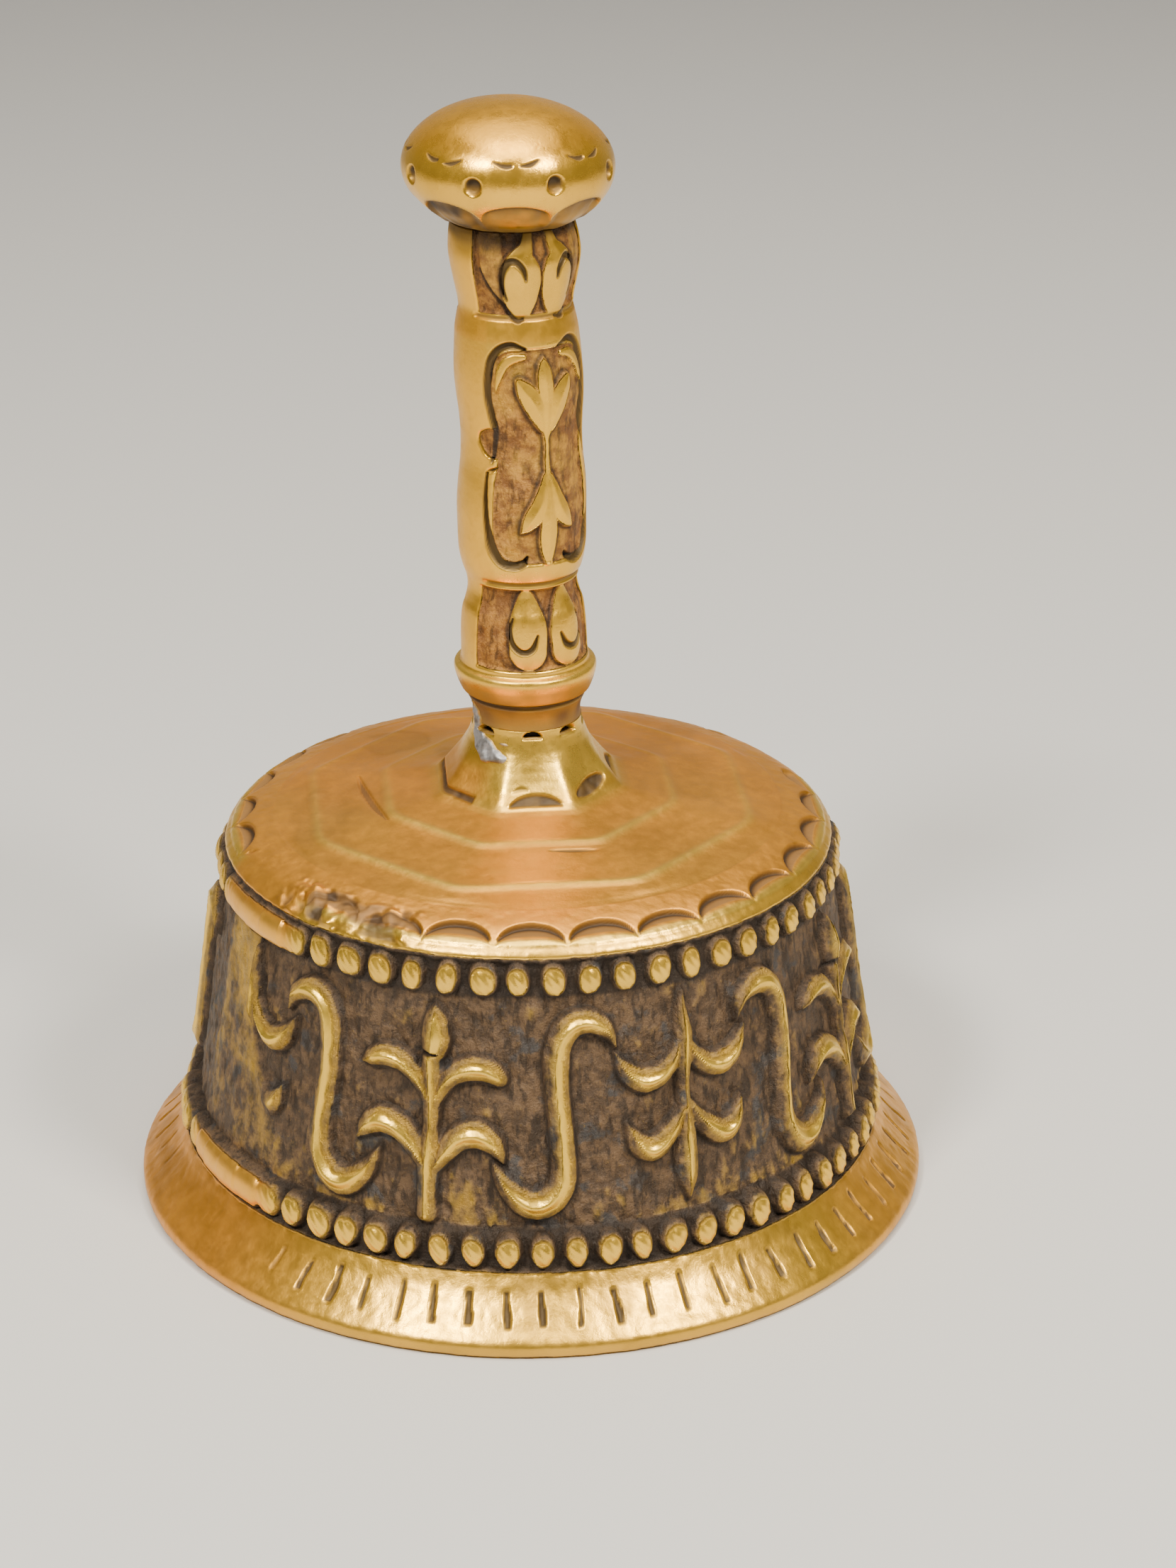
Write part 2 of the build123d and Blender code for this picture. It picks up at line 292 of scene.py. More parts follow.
SCROLL = [
    (6.9, 33.0, 0.1), (5.8, 35.3, 1.0), (3.4, 36.4, 1.45), (1.3, 35.6, 1.55), (0.1, 33.2, 1.55),
    (-0.1, 29.0, 1.45), (0.2, 25.0, 1.4), (0.5, 21.0, 1.4), (0.3, 18.0, 1.55), (-1.2, 15.9, 1.8),
    (-3.2, 15.5, 1.7), (-5.2, 16.9, 1.3), (-6.6, 18.8, 0.7), (-7.3, 20.4, 0.1),
]
PLANT = [
    [(-0.2, 13.6, 1.15), (-0.3, 17.0, 1.1), (-0.25, 20.5, 1.35), (0.0, 24.0, 0.9)],
    [(0.0, 23.5, 0.85), (0.0, 27.5, 1.1), (-0.2, 31.9, 1.2)],
    [(0.1, 32.9, 1.5), (0.3, 34.4, 1.8), (0.3, 36.4, 1.3), (0.2, 38.2, 0.1)],
    [
        (-0.6, 19.5, 0.9), (-1.9, 21.6, 1.25), (-3.6, 23.3, 1.55), (-5.8, 23.9, 1.6),
        (-7.6, 22.9, 1.2), (-8.9, 21.2, 0.2),
    ],
    [
        (0.6, 19.5, 0.9), (1.7, 21.2, 1.2), (3.2, 22.9, 1.5), (5.0, 23.5, 1.7), (6.7, 22.7, 1.3),
        (7.6, 21.5, 0.8), (8.2, 20.2, 0.1),
    ],
    [
        (-0.2, 27.0, 0.8), (-1.6, 29.3, 1.1), (-3.5, 30.9, 1.3), (-5.6, 31.4, 1.35), (-7.4, 30.9, 1.1),
        (-8.8, 30.2, 0.3),
    ],
    [
        (0.3, 27.0, 0.8), (1.8, 29.6, 1.1), (3.8, 30.9, 1.4), (6.0, 31.1, 1.5), (7.6, 30.2, 1.1),
        (8.1, 29.6, 0.5),
    ],
]
HANGING_LEAVES = [
    [
        (0.5, 32.6, 0.5), (1.5, 30.6, 1.0), (3.2, 29.1, 1.35), (5.2, 28.8, 1.5), (7.1, 30.0, 1.1),
        (8.5, 32.4, 0.1),
    ],
    [
        (0.1, 25.8, 0.3), (1.2, 23.6, 0.85), (2.9, 21.6, 1.35), (4.6, 20.7, 1.5), (6.2, 21.7, 1.15),
        (7.4, 24.0, 0.1),
    ],
]
HANGING_PLANT = [
    [(0.3, 38.3, 0.2), (0.2, 36.0, 0.7), (0.2, 33.5, 1.1), (0.1, 31.0, 1.2)],
    [(0.1, 31.0, 1.2), (-0.15, 28.5, 0.85), (-0.2, 26.5, 0.75), (-0.2, 24.8, 0.8)],
    [(-0.1, 24.8, 0.5), (-0.2, 22.5, 1.0), (-0.35, 19.5, 1.4), (-0.4, 17.0, 1.2), (-0.45, 13.8, 0.1)],
    *HANGING_LEAVES,
    *[mirrored(leaf) for leaf in HANGING_LEAVES],
]
BUD_CUT = [(-2.3, 32.5, 0.15), (-0.8, 32.55, 0.22), (0.5, 32.5, 0.1)]
HALF_RING = (
    (-57.2, HANGING_PLANT), (-36.5, [mirrored(SCROLL)]), (-16.7, PLANT), (4.4, [SCROLL]),
    (26.8, HANGING_PLANT), (48.0, [mirrored(SCROLL)]), (68.0, PLANT), (88.5, [SCROLL]),
)


def seam_cover(azimuth, z, wobble):
    """1 on the plain panel that hides the mould's joint, and 0 off it."""
    cover = np.zeros(np.shape(azimuth))
    worn = ramp(30.0 - z, 0.0, 14.0)
    for seam in SEAM_AZIMUTHS:
        side = turn_to(azimuth, seam) + 5.0 * wobble
        right = 1.0 - ramp(side, 1.3 + 3.5 * worn, 2.3 + 16.5 * worn)
        left = ramp(side, -14.5 - 4.0 * worn, -9.5)
        cover = np.maximum(cover, right * left)
    return cover


def wall_ornament(azimuth, z, wobble):
    """Height over the wall's ground; how raised it is, with left-facing flanks lowered as painted
    shade; how much dirt and painted shade it holds round the foot of the work; and how rubbed it is,
    with a painted highlight along the ridges.
    """
    depth = np.full(azimuth.shape, -9.0)
    cut = np.full(azimuth.shape, -9.0)
    for half_turn in (0.0, 180.0):
        for centre, strokes in HALF_RING:
            side = turn_to(azimuth, centre + half_turn) * DEGREE
            near = np.abs(side) < 10.5
            x = side[near] + wobble[near]
            y = z[near] + 0.6 * wobble[near]
            inside = np.max([depth_inside(x, y, stroke) for stroke in strokes], axis=0)
            depth[near] = np.maximum(depth[near], inside)
            if strokes is PLANT:
                cut[near] = np.maximum(cut[near], depth_inside(x, y, BUD_CUT))
    height = 0.75 * ramp(depth, -0.22, 0.14) + 0.72 * np.maximum(depth, 0.0)
    height -= 0.55 * ramp(cut, -0.1, 0.15)
    cover = seam_cover(azimuth, z, wobble)
    height = np.maximum(height * (1.0 - 0.8 * cover), 0.45 * cover * (0.85 + 1.2 * wobble))
    raised = (0.48 * ramp(depth, -0.05, 0.2) + 0.52 * ramp(depth, 0.45, 1.35)) * (1.0 - cover)
    raised = np.maximum(raised, np.clip(0.34 + 2.2 * wobble, 0.12, 0.6) * cover)
    # Flanks that rise towards larger azimuth face left and are painted darker: painted shade on the
    # side away from the light.
    rising = np.gradient(height, axis=1) * (FRONT_COLUMNS / 360.0 / DEGREE)
    raised *= 1.0 - 0.42 * ramp(rising, 0.12, 0.75) * (1.0 - cover)
    raised *= 1.0 - ramp(cut, -0.1, 0.1)
    # A dark ring round the foot of the raised work: partly dirt in the corner, partly painted shadow at
    # the foot of the relief.
    dirt_and_shade = 0.85 * hump(np.minimum(depth, 0.0) + 0.2, 0.2) * (depth < 0.05) * (1.0 - cover)
    dirt_and_shade = np.maximum(dirt_and_shade, ramp(cut, -0.2, 0.0))
    return height, raised, dirt_and_shade, ramp(depth, 0.55, 1.3) * (1.0 - cover)


def bead_row(azimuth, z, count, phase, centre_z, half_width, half_height, tall, point, seed):
    """Height and outline of a row of beads that runs together into a plain band at each seam."""
    random = np.random.default_rng(seed)
    vary = random.uniform(-1.0, 1.0, (5, count))
    turns = (azimuth - phase) * count / 360.0
    index = np.round(turns).astype(int)
    pick = index % count
    x = (turns - index) * 360.0 / count * DEGREE - 0.16 * vary[0][pick]
    y = z - centre_z - 0.12 * vary[1][pick]
    x = x - 0.12 * vary[4][pick] * y
    near_seam, crowded = by_seams(azimuth, 9.0, 13.5), by_seams(azimuth, 20.0, 42.0)
    width = half_width * (1.0 + 0.12 * vary[2][pick] + 0.12 * crowded)
    width *= 1.0 - point * ramp(-y / half_height, 0.0, 1.0)
    across = np.abs(x / width) ** (2.3 + 0.8 * crowded) * (1.0 - near_seam)
    up = np.abs(y / (half_height * (1.0 + 0.06 * vary[3][pick]))) ** 2.2
    q = across + up
    bead = np.clip(1.0 - q, 0.0, 1.0) ** 0.45
    facet = 0.1 * np.abs(np.sin(3.0 * x + 2.0 * vary[3][pick] + 2.2 * y)) * (1.0 - near_seam)
    height = tall * (1.0 + 0.14 * vary[1][pick] - facet) * bead
    gap = ramp(q, 0.7, 1.1) * (1.0 - ramp(up, 0.9, 1.5)) * (1.0 - 0.6 * near_seam)
    return height, ramp(bead, 0.42, 0.97 - 0.25 * near_seam), 0.95 * gap


SCALLOP_RADIUS, SCALLOP_HALF, SCALLOP_FOOT = 34.2, 3.75, 5.1
SCALLOP_RISE, TONGUE_RISE = 2.7, 0.85


def scallop_cuts(azimuth, along):
    """The gouged crescents round the shoulder: depth, dirt with painted shadow under the steep outer
    wall, stain with painted dark reflection inside, and the bright tongue in each.

    along is the distance out from the crown's edge.
    """
    pitch = 360.0 / SCALLOPS
    index = np.round(azimuth / pitch)
    vary = np.random.default_rng(5).uniform(-1.0, 1.0, (2, SCALLOPS))
    pick = index.astype(int) % SCALLOPS
    x = (azimuth - index * pitch) * math.pi / 180.0 * SCALLOP_RADIUS - 0.2 * vary[0][pick]
    arch = np.sqrt(np.clip(1.0 - (x / SCALLOP_HALF) ** 2, 0.0, 1.0))
    outer = SCALLOP_FOOT - (SCALLOP_RISE + 0.25 * vary[1][pick]) * arch
    inner = SCALLOP_FOOT - TONGUE_RISE * arch
    share = np.clip((along - outer) / np.maximum(inner - outer, 0.05), 0.0, 1.0)
    inside = ramp(along - outer, -0.22, 0.22) * ramp(SCALLOP_HALF - np.abs(x), 0.0, 0.3)
    inside *= along < SCALLOP_FOOT
    depth = 0.85 * inside * (1.0 - share)
    # Dark band under each crescent's steep outer wall: partly dirt, partly painted shadow.
    dirt_and_shade = hump(along - outer - 0.3, 0.48) * (np.abs(x) < SCALLOP_HALF) * (along < SCALLOP_FOOT + 0.1)
    # Dark inside of each crescent: partly stain, partly painted dark reflection off the cut face.
    stain_and_shade = inside * (1.0 - ramp(share, 0.85, 1.05))
    tongue = ramp(along - inner, 0.0, 0.5) * (1.0 - ramp(along, 5.2, 5.7))
    return depth, dirt_and_shade, stain_and_shade, tongue


DASH_RADIUS, DASH_NEAR, DASH_FAR, DASH_HALF = 44.5, 43.1, 45.9, 0.25


def lip_dashes(azimuth, radius):
    """Depth and dirt of the short cuts under the beads, worn away towards the seams."""
    random = np.random.default_rng(11)
    vary = random.uniform(-1.0, 1.0, (5, LOWER_BEADS))
    turns = (azimuth - LOWER_BEAD_PHASE) * LOWER_BEADS / 360.0
    index = np.round(turns).astype(int)
    pick = index % LOWER_BEADS
    x = (turns - index) * 360.0 / LOWER_BEADS * DASH_RADIUS * math.pi / 180.0
    bead_azimuth = index * 360.0 / LOWER_BEADS + LOWER_BEAD_PHASE
    kept = 1.0 - by_seams(bead_azimuth, 12.0, 38.0)
    kept = np.clip(kept * 1.5 + 0.35 * vary[3][pick] - 0.2, 0.0, 1.0)
    x = x - 0.22 * vary[0][pick] - 0.12 * vary[4][pick] * (radius - 44.4)
    width = DASH_HALF + 0.1 * vary[1][pick]
    near = DASH_NEAR + 0.25 * vary[2][pick]
    far = DASH_FAR - 0.9 * (1.0 - kept) + 0.2 * vary[0][pick]
    share = (radius - near) / (far - near)
    x = x - 0.24 * vary[3][pick] * np.cos(3.0 * share + 1.5 * vary[2][pick])
    width = width * (0.7 + 0.4 * share + 0.18 * np.cos(9.0 * share + 3.0 * vary[4][pick]))
    gap = np.maximum(np.abs(x) - width, np.maximum(near - radius, radius - far))
    dirt_and_shade = (1.0 - ramp(gap, 0.02, 0.2)) * np.minimum(2.2 * kept, 1.0)
    return (1.0 - ramp(gap, -0.14, 0.12)) * kept, dirt_and_shade


# The cup -------------------------------------------------------------------------------------------

FLARE = [
    (46.2, 0.0), (46.9, 0.1), (47.3, 0.42), (RIM_RADIUS, 1.05), (47.38, 1.7), (46.95, 2.25),
    (46.2, 2.95), (45.2, 3.95), (44.1, 5.05), (43.1, 6.2), (42.4, 7.2), (41.95, 7.85),
]
BEAD_BED = [(41.6, 8.05), (40.95, 8.3), (40.8, 8.9), (40.7, 10.6), (40.5, 11.9), (40.0, 12.5)]
SHOULDER = [
    (35.65, 43.35), (35.75, 43.7), (35.75, 44.05), (35.35, 44.55), (34.55, 45.2), (33.5, 45.85),
    (32.0, 46.45), (30.0, 47.0),
]
CROWN_EDGE = (30.0, 47.0)
CROWN = [
    (28.6, 47.25), (26.6, 47.5), (26.0, 47.62), (25.5, 47.84), (25.0, 48.02), (24.4, 47.98),
    (23.0, 48.1), (20.0, 48.5), (18.1, 48.78), (17.5, 48.91), (17.0, 49.12), (16.5, 49.3),
    (15.9, 49.29), (14.0, 49.6), (11.6, 50.1), (10.7, 50.45), (10.2, 50.9),
]
TERRACE_EDGES, TERRACE_LINE_WIDTH = (16.6, 25.1), 0.55
FOOT = [
    (9.7, 51.5), (9.1, 52.2), (8.5, 53.0), (7.9, 54.0), (7.4, 55.0), (6.95, 56.0), (6.6, 57.0),
    (6.4, 57.8),
]
NECK_RADIUS = 6.3
SOCKET = [(6.2, MOUTH_Z), (4.5, MOUTH_Z), (4.5, 50.2), (1.6, 50.2), (1.6, 48.0)]
INSIDE = [
    (9.9, 47.8), (27.0, 44.4), (30.2, 43.6), (32.3, 42.1), (33.4, 40.0), (34.6, 33.0), (38.2, 12.5),
    (38.7, 8.5), (40.2, 4.6), (43.6, 0.0),
]
UNDER_RIM = (44.9, 0.0)


def wall_line():
    """The wall's ground between the bead rows, as (radius, z) rows."""
    heights = np.linspace(WALL_LOW_Z, WALL_HIGH_Z, 8)
    foot_radius, foot_z = BEAD_BED[-1]
    return [(foot_radius - 0.1 - WALL_SLOPE * (z - foot_z), z) for z in heights]


def cast_ground(points):
    """Lumps and short slanting tool marks of a sand-cast surface."""
    slanted = points @ np.array([[1.0, 0.0, 0.35], [0.0, 1.0, 0.35], [0.0, 0.0, 0.5]])
    lumps = 0.14 * noise(points, 2.6, 1) + 0.2 * noise(slanted, 1.2, 2)
    return lumps + 0.15 * noise(slanted, 0.6, 61)


def cup_line():
    """Rows of the cup's outside from the lip to the crown's edge, finer where the ornament is finer."""
    upper_bed = [(35.75, 39.6), (35.5, 40.2), (35.4, 41.5), (35.35, 42.8), (35.5, 43.2)]
    zones = (
        (smooth_path(FLARE, 4), 0.3),
        ([FLARE[-1], *BEAD_BED, *wall_line(), *upper_bed, SHOULDER[0]], 0.215),
        (smooth_path(SHOULDER, 4), 0.15),
    )
    line = np.vstack([resample(points, step)[0][:-1] for points, step in zones] + [SHOULDER[-1:]])
    spread = np.hanning(17) / np.hanning(17).sum()
    padded = np.pad(outward(line), ((8, 8), (0, 0)), "edge")
    normal = np.stack([np.convolve(padded[:, k], spread, "valid") for k in (0, 1)], 1)
    return line, normal / np.linalg.norm(normal, axis=1)[:, None]


MESSY_AZIMUTH = -38.0


def cup_front():
    """The lip, wall and shoulder: points and layers on a fine grid."""
    line, normal = cup_line()
    along = np.r_[0.0, np.cumsum(np.hypot(*np.diff(line, axis=0).T))]
    radius, z, azimuth = grid(line, FRONT_COLUMNS)
    from_crown = along[-1] - np.repeat(along[:, None], FRONT_COLUMNS, axis=1)
    base = wound(radius, z, azimuth)
    wobble = 0.16 * noise(base, 9.0, 3) + 0.06 * noise(base, 3.0, 4)
    on_wall = ramp(z, WALL_LOW_Z - 0.5, WALL_LOW_Z + 0.3)
    on_wall *= 1.0 - ramp(z, WALL_HIGH_Z - 0.2, WALL_HIGH_Z + 0.6)
    height, raised, dirt_and_shade, ridge = [v * on_wall for v in wall_ornament(azimuth, z, wobble)]
    flare = 1.0 - ramp(z, 7.7, 8.1)
    shoulder = ramp(z, 43.6, 44.0)
    raised = np.maximum(raised, np.maximum(flare, shoulder))
    # Arguments of each bead_row after azimuth and z, and the radius that its beads stand on.
    rows = (
        (LOWER_BEADS, LOWER_BEAD_PHASE, LOWER_BEAD_Z, 1.5, 2.2, 1.75, 0.3, 21, 40.75),
        (UPPER_BEADS, UPPER_BEAD_PHASE, UPPER_BEAD_Z, 1.7, 2.1, 1.6, 0.0, 22, 35.4),
    )
    push = np.zeros(z.shape)
    for *row, carrier in rows:
        bead, bead_raised, bead_dirt = bead_row(azimuth, z, *row)
        over = bead + carrier - 0.13 * (z - row[2]) - radius
        front = ramp(over, -0.05, 0.1) * (bead > 0.02)
        push = np.where(bead > 0.02, np.maximum(push, over), push)
        raised = raised * (1.0 - front) + bead_raised * front
        dirt_and_shade = np.maximum(dirt_and_shade * (1.0 - front), bead_dirt * (1.0 - front * bead_raised))
    dirt_and_shade = dirt_and_shade * ramp(z, 7.3, 7.8) * (1.0 - ramp(z, 43.6, 43.9))
    lumps = cast_ground(base)
    cuts, cut_dirt = [v * flare for v in lip_dashes(azimuth, radius)]
    height -= 0.46 * cuts
    gouge, gouge_dirt_and_shadow, stain_and_shade, tongue = scallop_cuts(azimuth, from_crown)
    messy = beside(azimuth, MESSY_AZIMUTH, 12.0, 18.0)
    ragged = from_crown + 0.8 * noise(base, 3.0, 63)
    messy *= ramp(ragged, 1.4, 2.4) * (1.0 - ramp(from_crown, 6.0, 6.8))
    plain = np.maximum(beside(azimuth, -60.0, 10.0, 14.0), beside(azimuth, 121.0, 10.0, 14.0))
    gouge, gouge_dirt_and_shadow, stain_and_shade = [v * shoulder * (1.0 - plain) for v in (gouge, gouge_dirt_and_shadow, stain_and_shade)]
    height -= gouge * (1.0 - 0.6 * messy)
    height += 0.12 * tongue * shoulder * (1.0 - plain)
    height += messy * (0.55 * noise(base, 1.7, 6) + 0.25 * noise(base, 0.7, 7) + 0.1)
    stain_and_shade = np.maximum(stain_and_shade, 0.3 * (1.0 - ramp(z, 1.5, 2.4)))
    specks = noise(base, 5.0, 68) + 0.5 * noise(base, 1.5, 69)
    stain_and_shade = np.maximum(stain_and_shade, 0.35 * flare * ramp(specks, 0.05, 0.7))
    pits = 0.6 * ramp(-lumps, 0.1, 0.32) * (1.0 - np.maximum(raised, ramp(z, 43.0, 43.6)))
    dirt_and_shade = np.maximum.reduce([dirt_and_shade, cut_dirt, gouge_dirt_and_shadow * (1.0 - 0.5 * messy), pits])
    dirt_and_shade = np.maximum(dirt_and_shade, 0.9 * messy * ramp(-noise(base, 1.7, 6), 0.1, 0.6))
    stain_and_shade = np.maximum(stain_and_shade, messy * ramp(noise(base, 2.4, 64), -0.1, 0.4))
    height += lumps * (0.15 + 0.85 * (1.0 - raised)) + 0.05 * noise(base, 14.0, 8)
    low_gold = 0.24 * (1.0 - ramp(z, 13.0, 23.0)) * ramp(noise(base, 6.0, 62), -0.2, 0.5)
    rubbed = np.clip(0.08 + 0.9 * lumps + low_gold, 0.0, 0.5) * (1.0 - dirt_and_shade)
    raised = np.maximum(raised, rubbed)
    on_bead = ramp(push, 0.05, 0.3)
    height *= 1.0 - on_bead
    out_radius = np.minimum(radius + push + normal[:, :1] * height, RIM_RADIUS - 0.03)
    out = wound(out_radius, np.maximum(z + normal[:, 1:] * height, 0.0), azimuth)
    red_left = 0.08 + 0.8 * ramp(-turn_to(azimuth, -25.0), 0.0, 30.0)
    red_lip = np.maximum(red_left, 0.6 * ramp(turn_to(azimuth, 40.0), 0.0, 25.0))
    copper = np.maximum(shoulder * (0.85 - 0.75 * ramp(from_crown, 4.2, 5.2)), flare * red_lip)
    off_wall = ramp(z, 38.5, 40.5) + 1.0 - ramp(z, 12.5, 14.5)
    copper = np.clip(np.maximum(copper, 0.8 * by_seams(azimuth, 10.0, 15.0) * off_wall), 0.0, 1.0)
    # The ridges of the raised work are lightened: partly rubbed wear, partly painted highlight.
    rub_and_highlight = np.maximum(0.8 * tongue * shoulder * (1.0 - plain), 0.75 * ridge)
    rub_and_highlight = np.maximum(rub_and_highlight, 0.35 * ramp(push, 0.9, 1.5))
    return out, (raised, dirt_and_shade, stain_and_shade, copper, rub_and_highlight)


def octagon_reach(azimuth):
    """How far out an octagon of apothem 1 reaches at each azimuth."""
    sides = CROWN_TURN + 45.0 * np.arange(8)
    power = 40
    reach = [np.maximum(np.cos(np.radians(azimuth - side)), 0.0) ** power for side in sides]
    return np.sum(reach, axis=0) ** (-1.0 / power)


CROWN_CUTS = (
    ([(-16.4, -9.0, 0.15), (-17.9, -5.0, 0.42), (-19.3, 0.0, 0.42), (-20.2, 4.5, 0.1)], 0.32),
    ([(2.5, -18.1, 0.15), (5.0, -17.95, 0.35), (7.6, -17.75, 0.15)], 0.16),
)
FOOT_CUT_DEGREE = 9.8 * math.pi / 180.0
FOOT_CUT_HALF = 2.9
SMALL_FOOT_CUT_DEGREE = 9.2 * math.pi / 180.0
SMALL_FOOT_CUT = [(-2.5, 52.2, 0.1), (-1.7, 52.45, 0.2), (-0.8, 52.3, 0.1)]
FOOT_SLOT_AZIMUTH = -73.0


def foot_crescents(azimuth, z):
    """Depth of the chisel cuts where the foot meets the crown: half moons, a lens and a long slot."""
    cuts = np.zeros(azimuth.shape)
    for k in range(8):
        x = turn_to(azimuth, CROWN_TURN + 45.0 * k) * FOOT_CUT_DEGREE
        if k == 1:
            lens = np.sqrt(np.clip(1.0 - (x / 2.8) ** 2, 0.0, 1.0))
            inside = 0.75 * lens - np.abs(z - 51.75 - 0.12 * x) - 0.3 * (lens == 0.0)
        elif k > 5:
            x = turn_to(azimuth, FOOT_SLOT_AZIMUTH) * FOOT_CUT_DEGREE
            inside = np.minimum(0.34 - np.abs(z - 51.05 + 0.04 * x), 6.0 - np.abs(x))
        else:
            arch = np.sqrt(np.clip(1.0 - (x / FOOT_CUT_HALF) ** 2, 0.0, 1.0))
            low = 50.8 + 0.15 * (k % 3)
            moon = np.minimum(z - low, low + 1.15 * arch - z)
            inside = np.where(np.abs(x) < FOOT_CUT_HALF, moon, -1.0)
        cuts = np.maximum(cuts, ramp(inside, -0.12, 0.2))
    x = turn_to(azimuth, CROWN_TURN) * SMALL_FOOT_CUT_DEGREE
    return np.maximum(cuts, 0.6 * ramp(depth_inside(x, z, SMALL_FOOT_CUT), -0.12, 0.15))


def cup_crown():
    """The terraced crown and the foot of the handle: rows follow the octagons."""
    line = resample([CROWN_EDGE, *CROWN, *FOOT, (NECK_RADIUS, MOUTH_Z)], 0.2)[0][1:]
    line = np.vstack([line[:-1], [(NECK_RADIUS, MOUTH_Z - 0.04), line[-1]]])
    gauge, z, azimuth = grid(line, CROWN_COLUMNS)
    square = (1.0 - ramp(gauge, 26.2, CROWN_EDGE[0])) * ramp(gauge, 6.4, 8.8)
    radius = gauge * (1.0 + (octagon_reach(azimuth) - 1.0) * square)
    base = wound(radius, z, azimuth)
    height = 0.09 * noise(base, 9.0, 9) + 0.02 * noise(base, 2.4, 10)
    dirt_and_shade = np.zeros(azimuth.shape)
    for stroke, depth in CROWN_CUTS:
        cut = ramp(depth_inside(base[..., 0], base[..., 1], stroke), -0.1, 0.15)
        height -= depth * cut
        dirt_and_shade = np.maximum(dirt_and_shade, 0.9 * cut)
    notches = neck_notches(azimuth, z)
    crescents = foot_crescents(azimuth, z)
    lumpy = 0.5 + 0.5 * noise(base, 0.9, 12)
    height -= (0.45 - 0.3 * lumpy) * crescents
    height -= 1.2 * notches
    # The chisel cuts at the foot are darkened: partly dirt, partly painted shade in the cuts.
    dirt_and_shade = np.maximum.reduce([dirt_and_shade, crescents * (0.7 + 0.3 * (1.0 - lumpy)), notches])
    out = pushed(radius, z, azimuth, outward(line), height)
    # Share of the crown away from its lit front: the front is painted less copper so it reads yellower
    # where the light falls, and the terrace lines below are painted highlights that fade away from the
    # front.
    away_from_lit_front = ramp(np.abs(turn_to(azimuth, 0.0)), 25.0, 110.0)
    copper = ramp(gauge, 8.6, 12.5) * (0.78 + 0.2 * away_from_lit_front + 0.3 * noise(base, 11.0, 65))
    foot_left = beside(azimuth, -75.0, 30.0, 55.0)
    copper = np.maximum(copper, 0.75 * foot_left * ramp(gauge, 7.0, 8.6))
    # Light lines along the terrace edges: partly rubbed wear, partly painted highlight on the rounded
    # edges. A light line also runs round the crown's edge at the foot.
    rub_and_highlight = np.sum([hump(gauge - edge, TERRACE_LINE_WIDTH) for edge in TERRACE_EDGES], axis=0)
    rub_and_highlight *= 1.0 - 0.8 * away_from_lit_front
    rub_and_highlight += 0.4 * hump(gauge - 10.4, 0.4) * (1.0 - crescents)
    # The foot is painted lighter, except on its left side: painted light where the lamps fall on it.
    rub_and_highlight = np.maximum(rub_and_highlight, 0.55 * (1.0 - ramp(gauge, 8.6, 9.6)) * (1.0 - foot_left))
    # Darker brown patches on the crown, more of them towards the back-left.
    crown_dark_patches = (0.22 + 0.3 * beside(azimuth, -140.0, 40.0, 100.0)) * ramp(gauge, 8.0, 12.0)
    crown_dark_patches *= ramp(noise(base, 8.0, 66) + 0.3 * noise(base, 2.5, 67), 0.0, 0.5)
    # Stain in the foot's chisel cuts is partly stain, partly painted dark reflection.
    return out, (1.0, dirt_and_shade, np.maximum(0.9 * crescents, crown_dark_patches), copper, rub_and_highlight)


def cup_inside():
    """The socket in the foot, the hole for the hook, and the cup's rough inner face down to the rim."""
    line, normal = resample([*SOCKET, *smooth_path(INSIDE, 4), UNDER_RIM], 0.75)
    radius, z, azimuth = grid(line, INSIDE_COLUMNS)
    base = wound(radius, z, azimuth)
    open_wall = ramp(radius, 8.0, 14.0) * ramp(z, 2.0, 5.0)
    height = open_wall * (0.22 * noise(base, 4.0, 14) + 0.12 * noise(base, 1.8, 15))
    out = pushed(radius, z, azimuth, normal, height)
    out[..., 2] = np.maximum(out[..., 2], 0.0)
    return out, (0.75 * (1.0 - ramp(z, 0.2, 2.5)), 0.35 * open_wall, 0.0, 0.0, 0.0)


def make_cup():
    cup = shell("bell_cup", *zip(cup_front(), cup_crown(), cup_inside()))
    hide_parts("bell_body")
    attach(cup, "bell")
    return cup


# The handle ----------------------------------------------------------------------------------------

HANDLE_SIDE = [
    (NECK_RADIUS, 58.5), (6.25, 59.2), (6.35, 60.0), (6.6, 60.7), (6.9, 61.3), (7.05, 61.65),
    (7.35, 61.9), (7.65, 62.5), (7.95, 63.3), (8.2, 64.2), (8.27, 64.8), (8.1, 65.25), (7.7, 65.4),
    (7.45, 65.7),
    (7.45, 66.9), (7.35, 69.5), (7.1, 72.1), (6.7, 73.4), (6.4, 74.7), (6.45, 76.0), (6.85, 77.2),
    (7.15, 78.5), (7.3, 79.9), (7.36, 82.4), (7.38, 85.0), (7.25, 87.5), (6.98, 90.0), (6.88, 92.6),
    (7.0, 95.1), (7.2, 97.5), (7.27, 100.0), (7.13, 102.5), (6.92, 105.0), (6.71, 106.2), (6.45, 107.6),
    (6.5, 108.6), (6.95, 110.8), (7.25, 112.5), (7.37, 113.9), (7.2, 115.7), (6.9, 117.2),
]
HANDLE_DEGREE = 0.124
